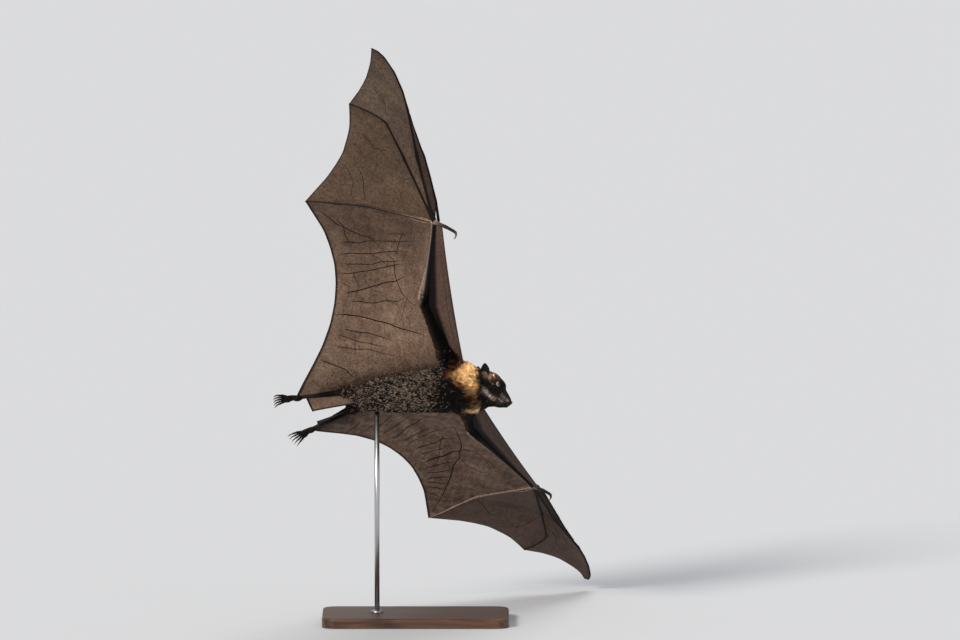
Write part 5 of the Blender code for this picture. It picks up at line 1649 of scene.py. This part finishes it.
def lay_tufts(name, slot, chance, points, normals, ways, lengths, widths, lifts, shades, tips, patches_at):
    """Joins tufts into one piece: three locks each, five points a lock, copied by an array."""
    count = len(points) * LOCKS
    lock = bmesh.new()
    bmesh.ops.create_grid(lock, x_segments=1, y_segments=2, size=1.0)
    ends = [v for v in lock.verts if v.co.y > 0.5]
    bmesh.ops.pointmerge(lock, verts=ends, merge_co=(0, 1, 0))
    lock.loops.layers.uv.new("OFBake")
    lock_mesh = bpy.data.meshes.new(name + "_lock")
    lock.to_mesh(lock_mesh)
    lock.free()
    holder = bpy.data.objects.new(name + "_lock", lock_mesh)
    bpy.context.scene.collection.objects.link(holder)
    copies = holder.modifiers.new("copies", "ARRAY")
    copies.count = count
    made = bpy.data.meshes.new_from_object(holder.evaluated_get(bpy.context.evaluated_depsgraph_get()))
    plan = points_of(lock_mesh)
    bpy.data.objects.remove(holder)

    def per_lock(values):
        return np.repeat(values, LOCKS, axis=0)

    way, normal, root = per_lock(ways), per_lock(normals), per_lock(points)
    side_way = np.cross(normal, way)
    which = np.tile(np.arange(LOCKS), len(points))
    aside = (which - (LOCKS - 1) / 2) + chance.normal(0, 0.25, count)
    way = unit(way + side_way * (aside * 0.13 + chance.normal(0, 0.07, count))[:, None])
    side_way = np.cross(normal, way)
    size = per_lock(lengths) * chance.uniform(0.8, 1.15, count) * MM
    width = per_lock(widths) * chance.uniform(0.75, 1.2, count) * MM
    first = np.radians(per_lock(lifts) * chance.uniform(0.75, 1.25, count))
    second = first * chance.uniform(0.25, 0.7, count)
    root = root - normal * (0.35 * MM) + side_way * (aside * width * 1.1)[:, None]
    middle = root + (way * np.cos(first)[:, None] + normal * np.sin(first)[:, None]) * (size * 0.7)[:, None]
    tip = middle + (way * np.cos(second)[:, None] + normal * np.sin(second)[:, None]) * (size * 0.3)[:, None]
    roll = np.radians((which - 1) * 48 + chance.normal(0, 14, count))
    facing = unit(np.cross(middle - root, side_way))
    across = side_way * np.cos(roll)[:, None] + facing * np.sin(roll)[:, None]
    half = across * (width / 2)[:, None]
    places = np.empty((count, len(plan), 3))
    stains = np.ones((count, len(plan), 4))
    corner = np.empty((len(plan), 2))
    for i, (x, y, _) in enumerate(plan):
        if y > 0.5:
            spot, tone = tip, per_lock(tips)
        elif y > -0.5:
            spot, tone = middle + half * np.sign(x) * 0.85, per_lock(shades)
        else:
            spot, tone = root + half * np.sign(x) * 0.7, per_lock(shades) * 0.55
        places[:, i] = spot
        stains[:, i, :3] = tone
        corner[i] = ((x + 1) / 2, (y + 1) / 2)
    made.vertices.foreach_set("co", moved_by(ROW, places.reshape(-1, 3)).ravel())
    made.attributes.new("stain", "FLOAT_COLOR", "POINT").data.foreach_set("color", stains.ravel())
    loops = np.empty(len(made.loops), np.int64)
    made.loops.foreach_get("vertex_index", loops)
    copy, local = np.divmod(loops, len(plan))
    shift = corner[local] + np.stack([which[copy], 0 * copy], 1)
    patch = per_lock(patches_at)[copy] + shift * (0.001, 0.003)
    made.uv_layers["OFBake"].data.foreach_set("uv", patch.ravel())
    finish_piece(name, made, fur)


def mix(value, other, share):
    """A value taken this share of the way to another."""
    return value * (1 - share) + other * share


def wanted_tufts(points):
    """Tufts per square millimetre."""
    h, head, _, _, mantle = body_parts(points)
    muzzle = ramp(-34, -18, h[:, 0]) * head
    density = mix(0.95 + 0.35 * mantle, 1.9 + 1.2 * muzzle, head)
    bare = ramp(0.0, 0.22, share_along(points, "elbow", "wrist", 12))
    bare = bare + ramp(0.3, 0.75, share_along(points, "knee", "ankle", 10))
    density = density * (1 - np.clip(bare, 0, 1))
    density = density * ramp(EYE_RADIUS + 0.4, EYE_RADIUS + 1.4, from_eyes(h))
    nose = np.linalg.norm(h - (-3.6, 0, -2), axis=1)
    density = density * ramp(4.3, 5.2, nose)
    lips = np.abs(h[:, 2] - mouth_height(h[:, 0])) + 30 * ramp(-21, -25, h[:, 0])
    return density * np.where(head > 0.5, ramp(0.4, 1.1, lips), 1)


roots, ways_out, chance = scatter(skin_mesh, wanted_tufts, 71)
h, head, arm, shin, mantle = body_parts(roots)
lie = lie_of_coat(roots, ways_out, h, head, arm, shin, mantle)
back_side = ramp(-10, 25, roots[:, 2] / MM)
muzzle = ramp(-40, -16, h[:, 0]) * head
eye_gap = from_eyes(h) - EYE_RADIUS
short_face = np.maximum(muzzle, np.exp(-np.maximum(eye_gap, 0) / 3.5) * head)
# Hair of each part: length and width of a lock in millimetres, and lift from the skin in degrees.
TRUNK_HAIR, MANTLE_HAIR = (8.2, 0.62, 40.0), (12.5, 0.58, 50.0)
FACE_HAIR, MUZZLE_HAIR = (5.2, 0.42, 26.0), (1.7, 0.24, 14.0)
BACK_EXTRA, ARM_LENGTH, WRIST_LENGTH, SHIN_LENGTH = 2.5, 8.5, 4.0, 3.6
BEARD_EXTRA, BEARD_LIFT = 4.0, 18.0
lengths, widths, lifts = (
    mix(mix(trunk, mane, mantle), mix(face, muzzle_end, short_face), head)
    for trunk, mane, face, muzzle_end in zip(TRUNK_HAIR, MANTLE_HAIR, FACE_HAIR, MUZZLE_HAIR))
lengths = lengths + BACK_EXTRA * back_side * (1 - mantle) * (1 - head)
outward = ramp(60, 150, np.abs(roots[:, 1]) / MM)
lengths = mix(mix(lengths, mix(ARM_LENGTH, WRIST_LENGTH, outward), arm), SHIN_LENGTH, shin)
beard = np.exp(-(((roots / MM - (42, 6, -46)) / (11, 20, 9)) ** 2).sum(1))
dip = nape(h) * (1 - head)
lengths = (lengths + BEARD_EXTRA * beard) * (1 - 0.5 * dip)
widths = widths * (1 - 0.25 * arm) * (1 - 0.3 * shin)
lifts = (lifts + BEARD_LIFT * beard) * (1 - 0.4 * dip) * (1 - 0.35 * arm) * (1 - 0.4 * shin)
# Hair parts and clumps a little: neighbours lean the same way.
clump = patches(roots, 7 * MM, 81) - 0.5
swirl = patches(roots, 16 * MM, 82) - 0.5
lean = (0.5 + 0.9 * mantle) * (0.7 * clump + 0.6 * swirl) * (1 - 0.6 * head)
lean = lean + chance.normal(0, 0.1, len(roots))
lie = unit(lie + np.cross(ways_out, lie) * lean[:, None])
lifts = lifts * (1 + 0.5 * (patches(roots, 9 * MM, 83) - 0.5) + 0.35 * mantle * clump)
shades = coat_colour(roots + lie * (lengths * 0.3 * MM)[:, None])
brightness = np.exp(chance.normal(0, 0.25 + 0.12 * mantle + 0.2 * head, len(roots)) + 0.3 * clump)
brightness = brightness * (1 + mantle * (1.0 * cell_draw(roots, 1.8 * MM, 5) - 0.45))
blotch = (0.35 + 1.95 * cell_draw(roots, 3.0 * MM, 9) ** 2) * (0.6 + 0.8 * cell_draw(roots, 1.7 * MM, 11))
brightness = brightness * (1 + head * (blotch - 1))
brightness = brightness * (0.32 + 0.68 * np.maximum(mantle, head))
shades = shades * brightness[:, None]
tips = shades * (1.25 + 0.25 * mantle)[:, None]
# Pale-tipped hairs fleck the body, most of all underneath.
rise = np.radians(lifts)[:, None]
ends = roots + (lie * np.cos(rise) + ways_out * np.sin(rise)) * (lengths * MM)[:, None]
FLECK_SPACING = 2.7 * MM
BODY_RADIUS = 36 * MM
girth = np.stack([ends[:, 0], BODY_RADIUS * np.arctan2(ends[:, 1], ends[:, 2] + 8 * MM)], 1) / FLECK_SPACING
in_cell = girth - np.floor(girth)
cell = np.concatenate([np.floor(girth), 0 * girth[:, :1]], 1) + 0.5
centre = 0.3 + 0.4 * np.stack([cell_draw(cell, 1.0, salt) for salt in (0, 21)], 1)
from_fleck = np.linalg.norm(in_cell - centre, axis=1)
x, y, z = roots.T / MM
upper = ramp(-42, -22, z)
share = 0.03 + 0.18 * ramp(-10, -58, x - 18 * upper) * (1 - 0.5 * ramp(-110, -155, x))
share = share * (1 - 0.7 * ramp(2, 22, y)) * (0.75 + 0.5 * patches(roots, 14 * MM, 84))
share = share * (1 - 0.8 * mantle) * (1 - arm) * (1 - shin) * (1 - head) + 0.15 * head
flecked = (from_fleck < np.sqrt(np.maximum(share, 0) / pi)) & (chance.uniform(0, 1, len(roots)) < 0.9)
strength = np.where(flecked, chance.uniform(0.55, 1.0, len(roots)), 0.0)
strength = strength * (1 - 0.6 * back_side) * (1 - 0.8 * head)
tips = blend(tips, GRIZZLE, strength)
shades = blend(shades, GRIZZLE, 0.2 * strength)
lifts = lifts * np.where(flecked, 1.15, 1)
coat = (roots, ways_out, lie, lengths, widths, lifts, shades, tips, unwrap(roots, h, head, arm, shin))

PIECE_TUFTS = 21000
kinds = np.where(head > 0.5, 0, np.where(mantle > 0.5, 1, np.where((arm > 0.5) | (shin > 0.5), 2, 3)))
SLOTS = {"head": "face_coat", "mantle": "mantle_coat", "limbs": "body_coat", "trunk": "body_coat"}
for kind, (part, slot) in enumerate(SLOTS.items()):
    chosen = np.flatnonzero(kinds == kind)
    pieces = max(1, -(-len(chosen) // PIECE_TUFTS))
    for i, group in enumerate(np.array_split(chosen, pieces)):
        lay_tufts(f"coat_{part}_{i + 1}", slot, chance, *(values[group] for values in coat))

# Thin short hair reaches from the flank onto the wing skin, on both faces.
FLANK_TUFTS = 5200
for label, skeleton in SKELETON.items():
    place = arm_panel(skeleton)
    chance = np.random.default_rng(91 if label == "right" else 92)
    u = np.abs(chance.normal(0, 0.085, FLANK_TUFTS)) + 0.01
    v = chance.uniform(0.0, 0.86, FLANK_TUFTS)
    along_arm = chance.uniform(0, 1, FLANK_TUFTS) < 0.3
    u = np.where(along_arm, chance.uniform(0.05, 0.52, FLANK_TUFTS), u)
    v = np.where(along_arm, np.abs(chance.normal(0, 0.06, FLANK_TUFTS)), v)
    faces = np.where(chance.uniform(0, 1, FLANK_TUFTS) < 0.6, -1.0, 1.0)[:, None]
    way_out = normals_of(place, u, v) * faces
    root = place(u, v) + way_out * MEMBRANE / 2
    way = unit(place(np.minimum(u + 0.01, 1), np.minimum(v + 0.006, 1)) - place(u, v))
    way = unit(way - way_out * (way * way_out).sum(1, keepdims=True))
    way = unit(way + np.cross(way_out, way) * chance.normal(0, 0.35, (FLANK_TUFTS, 1)))
    tone = blend(SHOULDER_RED, COAT_BLACK, chance.uniform(0.3, 0.95, FLANK_TUFTS))
    tone = blend(tone, THREAD_PALE, 0.8 * (chance.uniform(0, 1, FLANK_TUFTS) < 0.08))
    size = 5.6 * np.exp(-u / 0.16) * chance.uniform(0.6, 1.1, FLANK_TUFTS)
    even = np.ones(FLANK_TUFTS)
    layout = np.stack([0.02 + 0.5 * u, (0.9 if label == "right" else 0.95) + 0.04 * v], 1)
    lay_tufts("coat_flank_" + label, "body_coat", chance, root, way_out, way, size, 0.34 * even, 15 * even,
              tone, tone * 1.3, layout)

# ------------------------------------------------------------------ floor, light and camera
# A plain pale floor that fills the view, soft light from the front and above, and a long lens that
# looks along the animal from a little over its height.

floor_mesh = bpy.data.meshes.new("studio_floor")
plane = bmesh.new()
bmesh.ops.create_grid(plane, x_segments=1, y_segments=1, size=120.0)
plane.to_mesh(floor_mesh)
plane.free()
floor = bpy.data.objects.new("studio_floor", floor_mesh)
bpy.context.scene.collection.objects.link(floor)
# Studio paper: uncoated and evenly grey, so it is matt and takes soft shadows.
paper, tree, shader = start_material("matt_studio_paper")
wire(tree, shader, {"Base Color": linear("#c9cbce"), "Roughness": 0.9})
floor_mesh.materials.append(paper)

world = bpy.data.worlds.new("studio_air")
world.use_nodes = True
world.node_tree.nodes["Background"].inputs["Color"].default_value = linear("#f1f3f6")
world.node_tree.nodes["Background"].inputs["Strength"].default_value = 0.42
bpy.context.scene.world = world


def soft_sun(name, way, strength, spread, code):
    """Even light from the direction of `way`, as from a large softbox far off."""
    lamp = bpy.data.lights.new(name, "SUN")
    lamp.energy = strength
    lamp.angle = radians(spread)
    lamp.color = linear(code)[:3]
    made = bpy.data.objects.new(name, lamp)
    made.rotation_euler = Vector(way).to_track_quat("Z", "Y").to_euler()
    bpy.context.scene.collection.objects.link(made)


soft_sun("key_light", (-0.5, -0.7, 0.5), 3.0, 14, "#fff8ef")
soft_sun("fill_light", (0.7, -0.6, 0.25), 0.5, 50, "#eef3ff")
soft_sun("top_light", (0.1, 0.5, 1.0), 1.1, 40, "#ffffff")

LENS = 400.0
SENSOR = 36.0
LOOK_DOWN = 6.0
DISTANCE = 17.067
AIM_FROM_SHOULDERS = Vector((0.0342, 0.0109, 0.1026))
view_way = Vector((0.0, cos(radians(LOOK_DOWN)), -sin(radians(LOOK_DOWN))))
lens = bpy.data.cameras.new("camera")
lens.lens = LENS
lens.sensor_width = SENSOR
lens.clip_end = 400.0
camera = bpy.data.objects.new("camera", lens)
camera.location = ROW.translation + AIM_FROM_SHOULDERS - view_way * DISTANCE
camera.rotation_euler = (radians(90 - LOOK_DOWN), 0.0, 0.0)
bpy.context.scene.collection.objects.link(camera)
bpy.context.scene.camera = camera
bpy.context.scene.view_settings.view_transform = "Standard"
